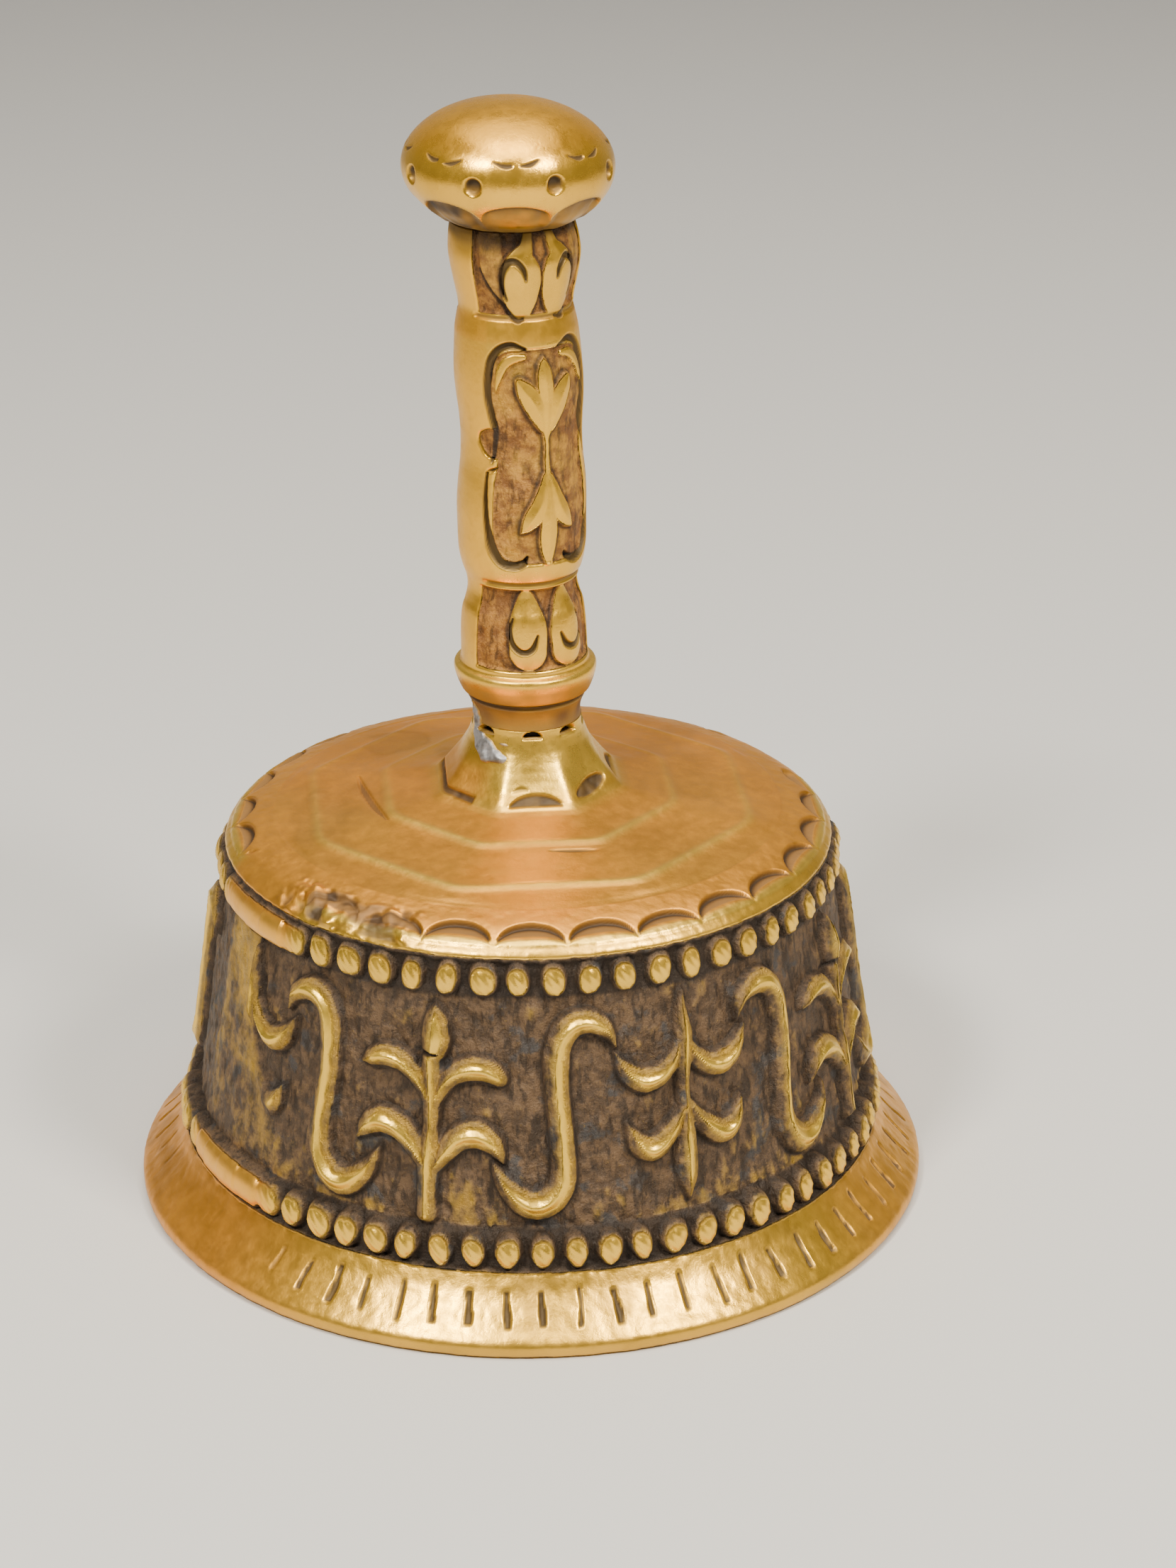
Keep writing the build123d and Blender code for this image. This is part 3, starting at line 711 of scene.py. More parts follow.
LILY = [
    [(0.0, 103.1, 0.15), (0.0, 102.2, 0.7), (0.0, 100.9, 1.05), (0.0, 98.8, 1.05), (0.0, 96.5, 1.1)],
    [(0.0, 96.5, 1.1), (0.0, 94.9, 0.8), (0.0, 93.6, 0.45), (0.0, 91.5, 0.45), (0.0, 89.0, 0.6)],
    [(0.0, 89.0, 0.6), (0.05, 86.5, 0.85), (0.05, 83.5, 1.15), (0.05, 80.8, 0.95), (0.05, 78.4, 0.2)],
    [(2.95, 100.5, 0.55), (2.3, 99.4, 1.15), (1.6, 98.1, 1.35), (1.1, 96.9, 1.25), (0.5, 95.2, 0.8)],
    [
        (0.3, 89.4, 0.5), (0.65, 87.8, 0.85), (1.05, 86.2, 1.15), (1.7, 84.9, 1.2), (2.35, 83.9, 0.85),
        (3.2, 82.9, 0.12),
    ],
]
LOW_PETAL = [
    (2.65, 76.0, 0.1), (2.65, 74.7, 1.1), (2.6, 73.0, 1.95), (2.55, 71.0, 2.45), (2.6, 68.6, 2.35),
]
LOW_PETAL_CUT = [
    (4.3, 72.6, 0.08), (4.7, 71.2, 0.2), (4.45, 69.7, 0.28), (3.6, 68.8, 0.3), (2.7, 68.7, 0.28),
    (1.95, 69.3, 0.24), (1.45, 70.6, 0.05),
]
HIGH_PETAL = [
    (2.65, 107.0, 0.1), (2.6, 108.1, 1.25), (2.5, 109.6, 2.12), (2.4, 111.2, 2.42), (2.4, 112.8, 2.3),
    (2.3, 114.3, 1.5), (1.7, 115.6, 0.9), (1.3, 117.2, 0.7),
]
HIGH_PETAL_WING = [(3.4, 108.8, 0.7), (4.5, 110.4, 1.2), (5.5, 112.4, 1.5), (6.0, 116.5, 1.7)]
HIGH_PETAL_CUT = [
    (4.2, 109.6, 0.06), (4.65, 111.0, 0.22), (4.5, 112.8, 0.3), (3.75, 114.0, 0.34),
    (2.85, 114.1, 0.32), (2.15, 113.2, 0.24), (1.9, 112.0, 0.05),
]
WING_EDGE = [
    (7.3, 112.9, 0.08), (6.2, 110.6, 0.2), (4.7, 108.7, 0.24), (3.1, 107.3, 0.2), (2.2, 107.4, 0.1),
]
TOP_BRACKET = [
    (2.1, 104.2, 0.12), (3.7, 104.65, 0.32), (5.3, 104.0, 0.34), (6.3, 102.4, 0.36), (6.75, 99.6, 0.28),
    (6.6, 96.6, 0.24), (6.35, 94.6, 0.24), (6.6, 92.4, 0.22), (6.75, 91.0, 0.1),
]
LOW_BRACKET = [
    (7.35, 89.6, 0.1), (7.4, 87.4, 0.18), (7.25, 84.4, 0.27), (6.75, 81.2, 0.42), (5.6, 79.35, 0.45),
    (4.1, 78.85, 0.42), (2.9, 79.2, 0.3), (2.4, 79.9, 0.1),
]
TOP_LIP = [
    (5.7, 99.2, 0.1), (5.3, 100.9, 0.45), (4.6, 102.4, 0.6), (3.6, 103.1, 0.6), (2.3, 103.3, 0.4),
]
PANEL_HALF = (6.85, 12.8)
PANEL_MIDDLE_Z = 91.6
PANEL_CORNER = 3.6
SPIGOT_RADIUS, TENON_RADIUS = 4.45, 3.0
GRIP_SCOOP = [(-7.6, 93.3, 1.2), (-6.6, 93.0, 1.7), (-5.9, 92.4, 1.2)]
GRIP_SLIT = [(-7.2, 89.9, 0.1), (-6.7, 90.0, 0.22), (-6.2, 90.3, 0.1)]


def rounded_box(x, y, half, corner):
    """Distance inside a rounded rectangle about the origin."""
    qx, qy = np.abs(x) - half[0] + corner, np.abs(y) - half[1] + corner
    outside = np.hypot(np.maximum(qx, 0.0), np.maximum(qy, 0.0))
    return corner - outside - np.minimum(np.maximum(qx, qy), 0.0)


def handle_ornament(azimuth, z, wobble):
    """Height over the handle's side, how raised it is, and how much dirt and painted shade it holds."""
    half_turn = np.where(np.abs(turn_to(azimuth, HANDLE_PANEL_AZIMUTH)) > 90.0, 180.0, 0.0)
    side = turn_to(azimuth, HANDLE_PANEL_AZIMUTH + half_turn) * HANDLE_DEGREE + wobble
    x, y = np.abs(side), z + 0.5 * wobble
    lily = np.max([depth_inside(x, y, stroke) for stroke in LILY], axis=0)
    petals = np.maximum(depth_inside(x, y, LOW_PETAL), depth_inside(x, y, HIGH_PETAL))
    wings = depth_inside(x, y, HIGH_PETAL_WING)
    waist = 0.5 * hump(z - 92.0, 3.0)
    panel = rounded_box(x + waist, y - PANEL_MIDDLE_Z, PANEL_HALF, PANEL_CORNER)
    ground = 0.5 * ramp(panel, 0.0, 0.7)
    ground = np.maximum(ground, 0.62 * between(z, 66.3, 75.7) * (1.0 - ramp(x, 8.7, 9.3)))
    ground = np.maximum(ground, 0.62 * between(z, 107.9, 118.0) * (1.0 - ramp(x, 7.7, 8.3)))
    lip = depth_inside(x, y, TOP_LIP)
    cover = ramp(lip, -0.15, 0.25)
    cover = np.maximum(cover, 0.55 * ramp(wings, -0.1, 0.3))
    height = -ground * (1.0 - cover)
    dome = -0.34 + 0.5 * np.sqrt(np.clip(petals / 2.2, 0.0, 1.0))
    dome = dome - (1.0 - ramp(petals, -0.15, 0.2)) * ground
    height = np.maximum(height, np.where(petals > -0.15, dome, height))
    height += (0.42 * ramp(lily, -0.2, 0.2) + 0.28 * np.maximum(lily, 0.0)) * ramp(ground, 0.02, 0.2)
    cuts = np.zeros(azimuth.shape)
    for stroke, deep in (
        (LOW_PETAL_CUT, 0.5), (HIGH_PETAL_CUT, 0.5), (TOP_BRACKET, 0.62), (LOW_BRACKET, 0.75),
        (WING_EDGE, 0.3),
    ):
        inside = depth_inside(x, y, stroke)
        height -= deep * ramp(inside, -0.14, 0.14)
        cuts = np.maximum(cuts, ramp(inside, -0.24, -0.02))
    groove = between(z, 76.1, 76.7, 0.2) * (1.0 - ramp(x, 7.5, 8.5))
    groove = np.maximum(groove, between(z, 107.3, 107.75, 0.15) * (1.0 - ramp(x, 8.2, 9.0)))
    groove = np.maximum(groove, 1.2 * between(z, 61.35, 61.95, 0.2))
    height -= 0.28 * groove
    raised = 1.0 - ramp(ground, 0.1, 0.4) * (1.0 - 0.8 * cover)
    raised = np.maximum(raised, np.maximum(ramp(petals, -0.02, 0.3), ramp(lip, -0.05, 0.2)))
    raised = np.maximum(raised, ramp(lily, -0.05, 0.4))
    raised = np.maximum(raised, ramp(panel, 0.1, 0.6) * np.clip(0.3 + 1.8 * wobble, 0.1, 0.6))
    # A dark ring round the foot of the lily and petals: partly dirt in the corner, partly painted
    # shadow at the foot of the relief.
    foot = hump(np.minimum(lily, 0.0) + 0.14, 0.28) * (lily < 0.05)
    foot = np.maximum(foot, hump(np.minimum(petals, 0.0) + 0.12, 0.25) * (petals < 0.05))
    dirt_and_shade = np.maximum.reduce([0.85 * foot * ramp(ground, 0.1, 0.4), cuts, 0.8 * groove])
    first = (half_turn == 0.0)
    scoop = ramp(depth_inside(side, z + 2.0 * wobble, GRIP_SCOOP), -0.1, 0.35) * first
    slit = ramp(depth_inside(side, z, GRIP_SLIT), -0.1, 0.12) * first
    height = height * (1.0 - scoop) - 0.5 * scoop - 0.45 * slit
    raised = raised * (1.0 - 0.9 * scoop)
    dirt_and_shade = np.maximum(dirt_and_shade, slit)
    return height, raised, dirt_and_shade


def make_handle():
    """The grip from its spigot to the tenon under the knob."""
    line, normal = resample(smooth_path(HANDLE_SIDE, 4), 0.14)
    radius, z, azimuth = grid(line, HANDLE_COLUMNS)
    base = wound(radius, z, azimuth)
    wobble = 0.10 * noise(base, 3.5, 31) + 0.04 * noise(base, 1.2, 32)
    height, raised, dirt_and_shade = handle_ornament(azimuth, z, wobble)
    rough = 0.09 * noise(base, 1.0, 33) + 0.06 * noise(base, 0.5, 34)
    height += (1.0 - raised) * rough + 0.05 * noise(base, 4.0, 35)
    # Darker just under the knob, reaching lower on the left: partly dirt in the crevice, partly painted
    # shade under the knob's overhang.
    left = beside(azimuth, -25.0, 25.0, 55.0)
    crevice = ramp(z, 115.4 - 1.6 * left, 117.0 - 0.8 * left)
    dirt_and_shade = np.maximum(dirt_and_shade, 0.85 * crevice)
    side = pushed(radius, z, azimuth, normal, height)
    side[..., 0] += lean(z)
    spigot = plain_rings(
        (
            (SPIGOT_RADIUS, SPIGOT_LOW_Z), (SPIGOT_RADIUS, 55.8), (SPIGOT_RADIUS, MOUTH_Z),
            (NECK_RADIUS - 0.08, MOUTH_Z), (NECK_RADIUS - 0.01, MOUTH_Z + 0.01),
        ),
        HANDLE_COLUMNS,
    )
    tenon = plain_rings([(TENON_RADIUS, ring_z) for ring_z in (117.2, 119.7, 122.15)], HANDLE_COLUMNS)
    tenon = shifted(tenon)
    off_panel = np.abs(turn_to(azimuth, HANDLE_PANEL_AZIMUTH))
    strip = ramp(np.minimum(off_panel, 180.0 - off_panel), 50.0, 58.0)
    copper = 0.4 * between(z, 104.8, 107.6) + 0.35 * strip * ramp(z, 64.0, 70.0)
    # The neck below the collar and the collar's underside are darkened brown: partly stain, partly
    # painted shade under the collar.
    neck_stain_and_shade = between(z, 57.5, 61.6, 0.3) * (0.95 + 0.3 * noise(base, 2.0, 36))
    collar_stain_and_shade = between(z, 61.6, 63.8, 0.4) * (0.6 + 0.3 * noise(base, 2.0, 36))
    stain_and_shade = np.maximum(neck_stain_and_shade, collar_stain_and_shade)
    # The light band on the collar's top rim is partly rubbed wear, partly painted highlight.
    fields = (raised, dirt_and_shade, stain_and_shade, copper, 0.7 * between(z, 64.9, 65.4, 0.15))
    handle = shell("handle_grip", [spigot, side, tenon], [BLANK, fields, BLANK], closed=False)
    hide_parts("handle_shaft")
    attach(handle, "bell")
    return handle


def neck_notches(azimuth, z):
    """The open crescents left in the joint, just under the handle."""
    notches = np.zeros(azimuth.shape)
    for k in range(8):
        half, tall = 10.5 + 1.2 * (k % 3), 0.38 + 0.06 * (k % 2)
        x = np.clip(turn_to(azimuth, 5.0 + 45.0 * k - 3.0 * (k % 4)) / half, -1.0, 1.0)
        middle = 57.75 + 0.3 * (1.0 - x * x)
        inside = tall * np.sqrt(1.0 - x * x) - np.abs(z - middle)
        notches = np.maximum(notches, ramp(inside, -0.1, 0.14) * (np.abs(x) < 1.0))
    return notches


KNOB_RADIUS, KNOB_MIDDLE_Z, KNOB_LOW_Z = 11.75, 123.2, 117.25
KNOB_BORE = [(3.05, 122.25), (3.05, KNOB_LOW_Z)]
ARCH_LOW_Z, ARCH_HIGH_Z = 118.9, 121.0
KNOB_DEGREE = 0.197
KNOB_PITCH = 45.0
KNOB_PHASE = 26.0
KNOB_DIMPLE = [(0.0, 123.25, 1.0), (0.05, 123.5, 1.0)]
KNOB_DASHES = (
    [(-3.6, 125.55, 0.06), (-2.5, 125.65, 0.2), (-1.5, 126.05, 0.06)],
    [(2.3, 126.05, 0.06), (3.6, 125.65, 0.22), (5.0, 125.85, 0.06)],
)


def make_knob():
    """The flattened ball with its ring of dimples, short dashes and scooped arches beneath."""
    tall = KNOB_TOP_Z - KNOB_MIDDLE_Z
    angles = np.linspace(math.asin((KNOB_LOW_Z - KNOB_MIDDLE_Z) / tall), math.asin(0.9995), 60)
    arc = np.stack([KNOB_RADIUS * np.cos(angles), KNOB_MIDDLE_Z + tall * np.sin(angles)], 1)
    line, normal = resample(arc, 0.13)
    radius, z, azimuth = grid(line, HANDLE_COLUMNS)
    base = wound(radius, z, azimuth)
    vary = np.random.default_rng(41).uniform(-1.0, 1.0, (3, 8))
    turns = (azimuth - KNOB_PHASE) / KNOB_PITCH
    index = np.round(turns).astype(int)
    pick = index % 8
    x = (turns - index) * KNOB_PITCH * KNOB_DEGREE + 0.2 * vary[0][pick] * (pick != 0) * (pick != 7)
    y = z + 0.12 * vary[1][pick] * (pick > 0)
    dimple = depth_inside(x, y, KNOB_DIMPLE)
    height = -0.75 * ramp(dimple, -0.05, 0.5)
    dash_depth = np.max([depth_inside(x, y, stroke) for stroke in KNOB_DASHES], axis=0)
    height -= 0.18 * ramp(dash_depth, -0.09, 0.1)
    dash = ramp(dash_depth, -0.14, 0.02)
    across = np.abs(x) / (KNOB_PITCH / 2 * KNOB_DEGREE)
    rise = np.sqrt(np.clip(1.0 - (1.0 - across) ** 2, 0.0, 1.0))
    edge = ARCH_LOW_Z + (ARCH_HIGH_Z - ARCH_LOW_Z) * rise
    under = edge - z
    scoop = ramp(under, -0.1, 0.15)
    height -= 0.5 * scoop * (1.0 - ramp(under, 0.3, 3.4)) * ramp(across, 0.0, 0.3)
    # A dark line along the top of each scooped arch: partly dirt, partly painted shadow under its edge.
    arch_dirt_and_shadow = hump(under - 0.2, 0.36) * ramp(across, 0.05, 0.3)
    # Darker at the knob's underside next to the handle: partly dirt, partly painted shade.
    crevice = 1.0 - ramp(z, 117.6, 118.8)
    side_dirt = ramp(-turn_to(azimuth, -12.0), 0.0, 16.0)
    side_dirt *= 1.0 - ramp(-turn_to(azimuth, -75.0), 0.0, 30.0)
    height += 0.05 * noise(base, 6.0, 42) + 0.02 * noise(base, 2.0, 43)
    height += scoop * 0.06 * noise(base, 0.9, 44)
    # The upper part of each dimple is painted dark: painted shade inside the hollow lit from above. The
    # brown stain fills the whole dimple.
    dirt_and_shade = np.maximum.reduce([
        dash, arch_dirt_and_shadow, 0.8 * crevice, 0.95 * ramp(dimple, 0.0, 0.25) * ramp(z, 122.4, 123.7),
        0.95 * scoop * side_dirt * (0.7 + 0.5 * noise(base, 1.2, 45)),
    ])
    faded = 1.0 - 0.5 * ramp(under, 1.5, 3.5)
    stain_and_shade = 0.8 * scoop * faded * (1.0 + 0.35 * noise(base, 1.6, 46)) + 0.9 * ramp(dimple, 0.0, 0.3)
    out = pushed(radius, z, azimuth, normal, height)
    out[..., 2] = np.minimum(out[..., 2], KNOB_TOP_Z)
    sections = [shifted(plain_rings(KNOB_BORE, HANDLE_COLUMNS)), shifted(out)]
    copper = 0.6 * ramp(z, 124.5, 127.5) + 0.1
    fields = (1.0, np.clip(dirt_and_shade, 0.0, 1.0), np.clip(stain_and_shade, 0.0, 1.0), copper, 0.0)
    knob = shell("knob", sections, [BLANK, fields], closed=False)
    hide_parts("handle_knob")
    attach(knob, "bell")
    return knob


NECK_DEGREE = 0.115
SOLDER_SINK, SOLDER_GAP_SINK = 0.3, 0.95
SOLDER_RUNS = (
    (-45.0, [
        (-3.1, 60.7, 0.35), (-2.6, 58.9, 1.0), (-1.8, 57.3, 1.25), (-0.3, 56.2, 1.3), (1.3, 55.6, 1.0),
        (2.7, 55.4, 0.5),
    ]),
    (-23.0, [(-1.3, 57.0, 0.3), (0.0, 56.8, 0.42), (1.4, 56.5, 0.15)]),
    (-62.0, [(-0.8, 60.9, 0.3), (-0.3, 59.4, 0.8), (0.3, 57.9, 0.7), (1.0, 56.7, 0.5)]),
    (140.0, [(-2.2, 57.3, 0.3), (0.0, 56.9, 0.7), (1.8, 57.2, 0.4)]),
    (-130.0, [(-1.2, 57.8, 0.4), (0.2, 57.0, 0.8), (0.8, 56.0, 0.3)]),
)


def make_solder():
    """A thin cuff of solder in the joint, thick enough to show only where it ran out."""
    heights = np.linspace(53.9, 60.9, 64)
    azimuth, z = np.meshgrid(azimuths(HANDLE_COLUMNS), heights)
    under = np.array(FOOT + HANDLE_SIDE[:5])
    neck = np.interp(z, under[:, 1], under[:, 0])
    base = wound(neck, z, azimuth)
    ragged = 0.3 * noise(base, 1.4, 51) + 0.16 * noise(base, 0.6, 53)
    blob = np.full(azimuth.shape, -SOLDER_SINK)
    for centre, run in SOLDER_RUNS:
        depth = depth_inside(turn_to(azimuth, centre) * NECK_DEGREE, z, run) + ragged
        blob = np.maximum(blob, 0.62 * ramp(depth, -0.35, 0.75) - SOLDER_SINK)
    blob += (0.16 * noise(base, 1.1, 52) + 0.06 * noise(base, 0.5, 54)) * ramp(blob, -0.28, 0.1)
    blob = np.where(neck_notches(azimuth, z) > 0.3, -SOLDER_GAP_SINK, blob)
    outer = shifted(wound(neck + blob, z, azimuth))
    inner = shifted(wound(np.minimum(neck, 6.4) - 1.2, z, azimuth)[::-1])
    solder = shell("joint_solder", [outer, inner], [(blob,), (blob,)])
    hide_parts("handle_solder")
    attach(solder, "bell")
    return solder


# The striking ball -------------------------------------------------------------------------------

BALL_BORE, RIVET_SEAT, RIVET_DEPTH = 1.3, 2.2, 1.6
BALL_DENTS = 26
BALL_PARTING_AZIMUTH = 20.0
BALL_COLUMNS = 216


def make_ball():
    """The striking ball: rough from its mould, dented, and rubbed bright where it meets the cup."""
    reach = (BALL_HIGH.x - BALL_LOW.x) / 2 / MM
    centre_z = BALL_HIGH.z / MM - math.sqrt(reach**2 - BALL_BORE**2)
    angles = np.linspace(-math.acos(RIVET_SEAT / reach), math.acos(BALL_BORE / reach), 110)
    azimuth, angle = np.meshgrid(azimuths(BALL_COLUMNS), angles)
    waist = reach * np.cos(angle)
    base = wound(waist, reach * np.sin(angle), azimuth)
    random = np.random.default_rng(71)
    height = 0.07 * noise(base, 4.0, 72) + 0.045 * noise(base, 1.1, 73) - 0.2
    dirt_and_shade = np.zeros(azimuth.shape)
    for _ in range(BALL_DENTS):
        at = random.normal(size=3)
        at *= reach / np.linalg.norm(at)
        size = random.uniform(0.5, 1.5)
        gap = np.linalg.norm(base - at, axis=-1) + 0.2 * noise(base, 0.8, 74)
        dent = 1.0 - ramp(gap, 0.3 * size, size)
        height -= random.uniform(0.08, 0.25) * dent
        dirt_and_shade = np.maximum(dirt_and_shade, 0.6 * dent)
    strike = np.zeros(azimuth.shape)
    for side in (-1.0, 1.0):
        gap = np.linalg.norm(base - np.array([side * 0.96 * reach, 0.0, -0.28 * reach]), axis=-1)
        strike = np.maximum(strike, 1.0 - ramp(gap + 0.5 * noise(base, 1.5, 75), 1.8, 4.0))
    height -= 0.12 * strike
    turn = math.radians(BALL_PARTING_AZIMUTH)
    parting = base[..., 0] * math.cos(turn) + base[..., 1] * math.sin(turn)
    seam = hump(parting, 0.3) * ramp(noise(base, 2.2, 76), -0.5, 0.1)
    height += 0.18 * seam * (1.0 - strike)
    height *= ramp(waist, 2.3, 3.4)
    out = base * (1.0 + height / reach)[..., None]
    out[..., 2] += centre_z
    low = out[0, 0, 2]
    bore = [
        (BALL_BORE, BALL_HIGH.z / MM), (BALL_BORE, low + RIVET_DEPTH),
        (RIVET_SEAT, low + 0.4 * RIVET_DEPTH),
    ]
    fields = (
        np.clip(0.45 + 0.7 * strike + 0.5 * seam + 0.3 * noise(base, 2.0, 77), 0.0, 1.0),
        np.maximum(dirt_and_shade, 1.0 - ramp(waist, 1.4, 2.6)),
        0.4 * ramp(noise(base, 5.0, 78), 0.1, 0.6) * (1.0 - strike),
        0.5 + 0.5 * noise(base, 6.0, 79),
        strike,
    )
    ball = shell("striking_ball", [out, plain_rings(bore, BALL_COLUMNS)], [fields, BLANK])
    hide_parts("clapper_ball")
    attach(ball, "clapper")
    return ball


# Camera, floor and light ---------------------------------------------------------------------------
# Places and sizes here are in metres.

CAMERA_PLACE, LENS_MM, SENSOR_MM = (0.0, -0.38348, 0.21405), 81.37, 36.0
CAMERA_FORWARD, CAMERA_RIGHT = (0.0169, 0.9186, -0.3949), (0.9998, -0.0197, -0.0031)
FLOOR_HALF, FLOOR_FRONT, FLOOR_BACK = 4.0, -6.0, 0.9
SWEEP_RADIUS, SWEEP_STEPS, BACKDROP_TOP = 0.5, 12, 2.4
LIGHT_AIM = (0.0, 0.0, 0.08)
LIGHTS = (
    ("left_box", (-0.30, -0.43, 0.66), (0.14, 0.14), 6.2, (1.0, 0.95, 0.84)),
    ("right_box", (0.40, -0.40, 0.66), (0.18, 0.18), 6.6, (1.0, 0.93, 0.80)),
    ("key_box", (0.04, -0.20, 0.92), (0.5, 0.4), 5.6, (1.0, 0.94, 0.84)),
    ("top_box", (0.0, 0.2, 0.95), (0.8, 0.6), 3.0, (1.0, 0.96, 0.88)),
)


def make_camera():
    """The camera stands in front and looks down on the bell at about 23 degrees."""
    camera = placed("camera", bpy.data.cameras.new("camera"))
    camera.data.sensor_width = SENSOR_MM
    camera.data.lens = LENS_MM
    camera.data.clip_start = 0.01
    forward, right = Vector(CAMERA_FORWARD).normalized(), Vector(CAMERA_RIGHT)
    right = (right - forward * right.dot(forward)).normalized()
    up = right.cross(forward)
    place = Matrix((right, up, -forward)).transposed().to_4x4()
    place.translation = Vector(CAMERA_PLACE)
    camera.matrix_world = place
    bpy.context.scene.camera = camera


def make_floor():
    """A pale paper sweep under the bell."""
    mesh = bpy.data.meshes.new("floor")
    sweep = [
        (FLOOR_BACK + SWEEP_RADIUS * math.sin(a), SWEEP_RADIUS * (1.0 - math.cos(a)))
        for a in np.linspace(0.0, math.pi / 2, SWEEP_STEPS)
    ]
    profile = [(FLOOR_FRONT, 0.0), *sweep, (FLOOR_BACK + SWEEP_RADIUS, BACKDROP_TOP)]
    verts = [(x, y, z) for y, z in profile for x in (-FLOOR_HALF, FLOOR_HALF)]
    faces = [(2 * i, 2 * i + 1, 2 * i + 3, 2 * i + 2) for i in range(len(profile) - 1)]
    mesh.from_pydata(verts, [], faces)
    mesh.shade_smooth()
    floor = placed("floor", mesh)
    paper = bpy.data.materials.new("pale_paper")
    paper.use_nodes = True
    shader = paper.node_tree.nodes["Principled BSDF"]
    shader.inputs["Base Color"].default_value = (0.62, 0.61, 0.59, 1.0)
    shader.inputs["Roughness"].default_value = 0.9
    mesh.materials.append(paper)


def make_light():
    """Soft boxes above and beside the bell in a dim room."""
    world = bpy.data.worlds.new("room")
    bpy.context.scene.world = world
    world.use_nodes = True
    world.node_tree.nodes["Background"].inputs["Color"].default_value = (0.9, 0.92, 1.0, 1.0)
    world.node_tree.nodes["Background"].inputs["Strength"].default_value = 0.12
    for name, place, size, power, colour in LIGHTS:
        data = bpy.data.lights.new(name, "AREA")
        data.shape = "RECTANGLE"
        data.size, data.size_y = size
        data.energy = power
        data.color = colour
        lamp = placed(name, data)
        lamp.location = place
        lamp.rotation_euler = (Vector(LIGHT_AIM) - Vector(place)).to_track_quat("-Z", "Y").to_euler()


# Materials -----------------------------------------------------------------------------------------

class Painter:
    """A Principled material, built from small node steps."""

    def __init__(self, name):
        self.material = bpy.data.materials.new(name)
        self.material.use_nodes = True
        self.tree = self.material.node_tree
        self.shader = self.tree.nodes["Principled BSDF"]
        self.place = self.tree.nodes.new("ShaderNodeTexCoord").outputs["Object"]

    def link(self, source, target):
        self.tree.links.new(source, target)

    def layer(self, name):
        node = self.tree.nodes.new("ShaderNodeAttribute")
        node.attribute_name = name
        return node.outputs["Fac"]

    def streaked(self):
        """Coordinates squeezed so that noise comes out as slanting streaks."""
        node = self.tree.nodes.new("ShaderNodeMapping")
        node.inputs["Rotation"].default_value = (0.0, 0.6, 0.0)
        node.inputs["Scale"].default_value = (1.0, 1.0, 0.3)
        self.link(self.place, node.inputs["Vector"])
        return node.outputs["Vector"]

    def noise(self, size_mm, detail=4.0, rough=0.55, place=None):
        node = self.tree.nodes.new("ShaderNodeTexNoise")
        node.inputs["Scale"].default_value = 1.0 / (size_mm * MM)
        node.inputs["Detail"].default_value = detail
        node.inputs["Roughness"].default_value = rough
        self.link(place or self.place, node.inputs["Vector"])
        return node.outputs["Fac"]

    def band(self, value, low, high, out_low=0.0, out_high=1.0):
        node = self.tree.nodes.new("ShaderNodeMapRange")
        node.interpolation_type = "SMOOTHSTEP"
        ends = {"From Min": low, "From Max": high, "To Min": out_low, "To Max": out_high}
        for key, number in ends.items():
            node.inputs[key].default_value = number
        self.link(value, node.inputs["Value"])
        return node.outputs["Result"]

    def math(self, kind, a, b):
        node = self.tree.nodes.new("ShaderNodeMath")
        node.operation = kind
        for socket, value in zip(node.inputs, (a, b)):
            if isinstance(value, (int, float)):
                socket.default_value = value
            else:
                self.link(value, socket)
        return node.outputs["Value"]

    def mix(self, factor, a, b, kind="MIX"):
        node = self.tree.nodes.new("ShaderNodeMix")
        node.data_type = "RGBA"
        node.blend_type = kind
        for key, value in (("Factor", factor), ("A", a), ("B", b)):
            socket = [s for s in node.inputs if s.name == key and s.enabled][0]
            if isinstance(value, (int, float)):
                socket.default_value = value
            elif isinstance(value, tuple):
                socket.default_value = (*value, 1.0)
            else:
                self.link(value, socket)
        return [s for s in node.outputs if s.enabled][0]

    def bump(self, height, strength, distance_mm, under=None):
        node = self.tree.nodes.new("ShaderNodeBump")
        node.inputs["Strength"].default_value = strength
        node.inputs["Distance"].default_value = distance_mm * MM
        self.link(height, node.inputs["Height"])
        if under is not None:
            self.link(under, node.inputs["Normal"])
        return node.outputs["Normal"]

    def finish(self, colour, roughness, metallic, normal):
        values = (colour, roughness, metallic, normal)
        for key, value in zip(("Base Color", "Roughness", "Metallic", "Normal"), values):
            self.link(value, self.shader.inputs[key])
        return self.material


# Brown stain and black dirt, which also serve as the colours of painted shade.
STAIN_AND_SHADE_BROWN, DIRT_AND_SHADE_BLACK = (0.145, 0.08, 0.03), (0.018, 0.010, 0.005)
PATINA_GREY = (0.045, 0.048, 0.052)

# Bright metal, its copper tone, the ground, the ground's paler patches, and the share of grey.
HANDLED = ((0.93, 0.53, 0.05), (0.95, 0.44, 0.025), (0.22, 0.09, 0.018), (0.44, 0.20, 0.033), 0.0)
AGED = ((0.93, 0.55, 0.055), (0.93, 0.38, 0.042), (0.07, 0.041, 0.021), (0.14, 0.082, 0.04), 0.75)
STRUCK = ((0.72, 0.45, 0.09), (0.6, 0.3, 0.08), (0.09, 0.05, 0.025), (0.19, 0.115, 0.05), 0.2)


def toned(colour, share):
    """A darker share of a colour."""
    return tuple(share * part for part in colour)


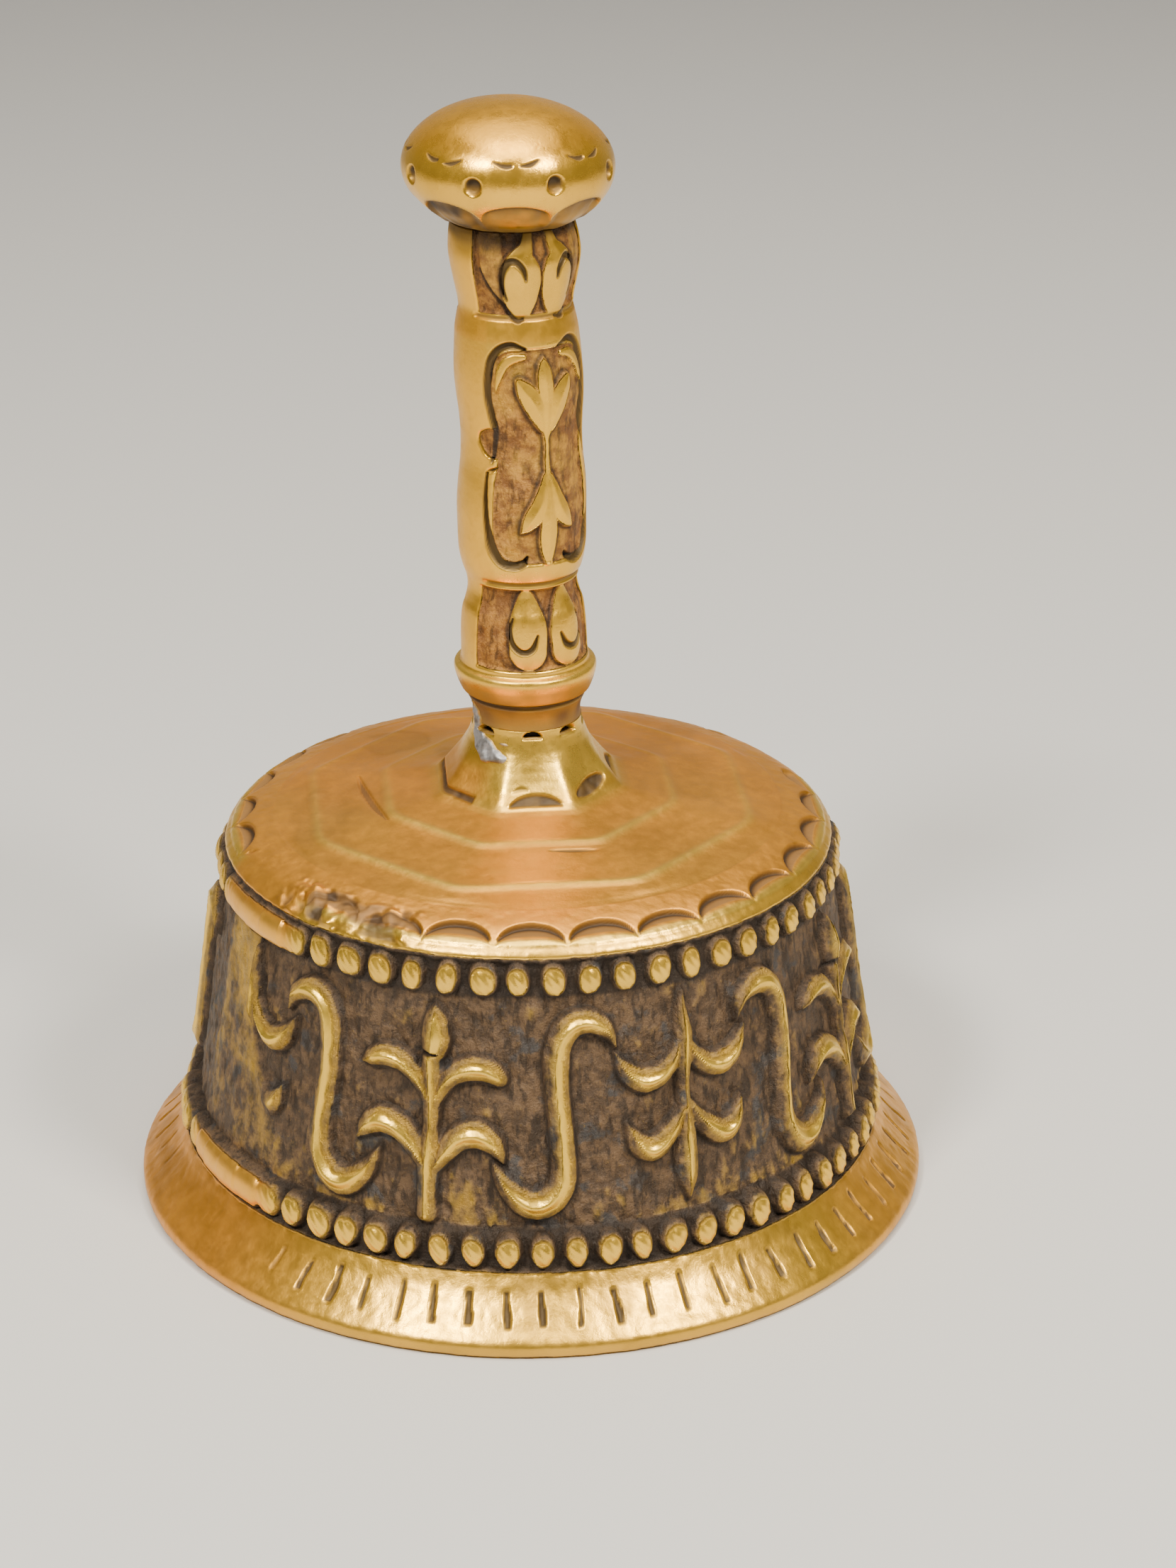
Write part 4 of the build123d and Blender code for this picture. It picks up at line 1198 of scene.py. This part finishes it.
def cast_brass(name, bright, copper_tone, ground, ground_patch, grey_share, smooth):
    """Brass with rubbed raised work and painted highlights, brown patina in the ground, and dark dirt
    and painted shade in the corners.
    """
    paint = Painter(name)
    raised, dirt_and_shade = paint.layer("raised"), paint.layer("dirt_and_shade")
    copper, stain_and_shade = paint.layer("copper"), paint.layer("stain_and_shade")
    cloud, grain, fine = paint.noise(9.0, 5.0), paint.noise(1.6, 6.0, 0.65), paint.noise(0.35, 4.0, 0.6)
    metal = paint.mix(paint.band(cloud, 0.35, 0.7), bright, toned(bright, 0.84))
    red = paint.mix(paint.band(cloud, 0.4, 0.65), copper_tone, toned(copper_tone, 0.88))
    metal = paint.mix(copper, metal, red)
    metal = paint.mix(paint.band(grain, 0.52, 0.78, 0.0, 0.22), metal, toned(bright, 0.5))
    # The rub-and-highlight layer lightens towards this colour: rubbed wear, and painted highlights.
    rubbed = tuple(min(1.0, 1.2 * part + 0.04) for part in bright)
    metal = paint.mix(paint.math("MULTIPLY", paint.layer("rub_and_highlight"), 0.6), metal, rubbed)
    earth = paint.mix(paint.band(grain, 0.4, 0.6), ground, ground_patch)
    grey = paint.band(paint.noise(4.0, 4.0), 0.57, 0.66, 0.0, grey_share)
    earth = paint.mix(grey, earth, PATINA_GREY)
    earth = paint.mix(paint.band(fine, 0.6, 0.78, 0.0, 0.3), earth, toned(bright, 0.5))
    streak = paint.noise(0.9, 5.0, 0.6, paint.streaked())
    earth = paint.mix(paint.band(streak, 0.48, 0.64, 0.0, 0.8), earth, toned(ground, 0.35))
    uneven = paint.math("MULTIPLY", paint.math("SUBTRACT", grain, 0.5), 0.7)
    edge = paint.band(paint.math("ADD", raised, uneven), 0.2, 0.95)
    colour = paint.mix(edge, earth, metal)
    colour = paint.mix(paint.math("MULTIPLY", stain_and_shade, 0.86), colour, STAIN_AND_SHADE_BROWN)
    colour = paint.mix(paint.math("MULTIPLY", dirt_and_shade, 0.92), colour, DIRT_AND_SHADE_BLACK)
    foul = paint.math("MAXIMUM", dirt_and_shade, paint.math("MULTIPLY", stain_and_shade, 0.8))
    clean = paint.math("MULTIPLY", edge, paint.math("SUBTRACT", 1.0, foul))
    dull = paint.band(clean, 0.0, 1.0, 0.6, smooth)
    roughness = paint.math("ADD", dull, paint.band(grain, 0.35, 0.75, -0.04, 0.1))
    roughness = paint.math("ADD", roughness, paint.math("MULTIPLY", copper, 0.1))
    metallic = paint.band(clean, 0.0, 0.8, 0.2, 0.85)
    rough_share = paint.band(edge, 0.0, 1.0, 1.0, 0.08)
    small = paint.bump(paint.math("MULTIPLY", fine, rough_share), 0.8, 0.18)
    normal = paint.bump(paint.math("MULTIPLY", grain, rough_share), 0.9, 0.6, small)
    normal = paint.bump(paint.math("MULTIPLY", streak, rough_share), 0.8, 0.5, normal)
    return paint.finish(colour, roughness, metallic, normal)


def tinned(name):
    """Dull grey solder."""
    paint = Painter(name)
    cloud, grain = paint.noise(2.0, 4.0), paint.noise(0.4, 4.0)
    thick = paint.band(paint.layer("raised"), 0.02, 0.22)
    colour = paint.mix(paint.band(cloud, 0.4, 0.65), (0.44, 0.44, 0.45), (0.15, 0.145, 0.14))
    colour = paint.mix(thick, (0.45, 0.28, 0.07), colour)
    colour = paint.mix(paint.band(paint.layer("raised"), -0.8, -0.4), (0.012, 0.008, 0.005), colour)
    roughness = paint.band(grain, 0.3, 0.7, 0.4, 0.6)
    metallic = paint.band(cloud, 0.3, 0.7, 0.9, 0.6)
    return paint.finish(colour, roughness, metallic, paint.bump(grain, 0.4, 0.08))


def iron(name):
    """Dark forged wire with rust in patches."""
    paint = Painter(name)
    cloud, grain = paint.noise(4.0, 5.0), paint.noise(0.5, 5.0, 0.65)
    rust = paint.band(cloud, 0.48, 0.62)
    colour = paint.mix(paint.band(grain, 0.35, 0.7), (0.10, 0.095, 0.09), (0.19, 0.175, 0.16))
    rusty = paint.mix(paint.band(grain, 0.4, 0.65), (0.16, 0.055, 0.022), (0.27, 0.11, 0.045))
    colour = paint.mix(rust, colour, rusty)
    roughness = paint.band(rust, 0.0, 1.0, 0.42, 0.88)
    metallic = paint.band(rust, 0.0, 1.0, 0.95, 0.1)
    return paint.finish(colour, roughness, metallic, paint.bump(grain, 0.5, 0.1))


def main():
    make_camera()
    make_floor()
    make_light()
    make_cup().data.materials.append(cast_brass("aged_cast_brass", *AGED, 0.3))
    make_handle().data.materials.append(cast_brass("handled_brass", *HANDLED, 0.3))
    make_knob().data.materials.append(cast_brass("knob_brass", *HANDLED, 0.22))
    make_solder().data.materials.append(tinned("grey_solder"))
    make_ball().data.materials.append(cast_brass("ball_brass", *STRUCK, 0.3))
    for node, material in (
        ("hook_washer", iron("washer_iron")), ("clapper_hook", iron("hook_iron")),
        ("clapper_rod", iron("rod_iron")),
    ):
        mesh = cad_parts[node].data
        mesh.materials.clear()
        mesh.materials.append(material)


main()
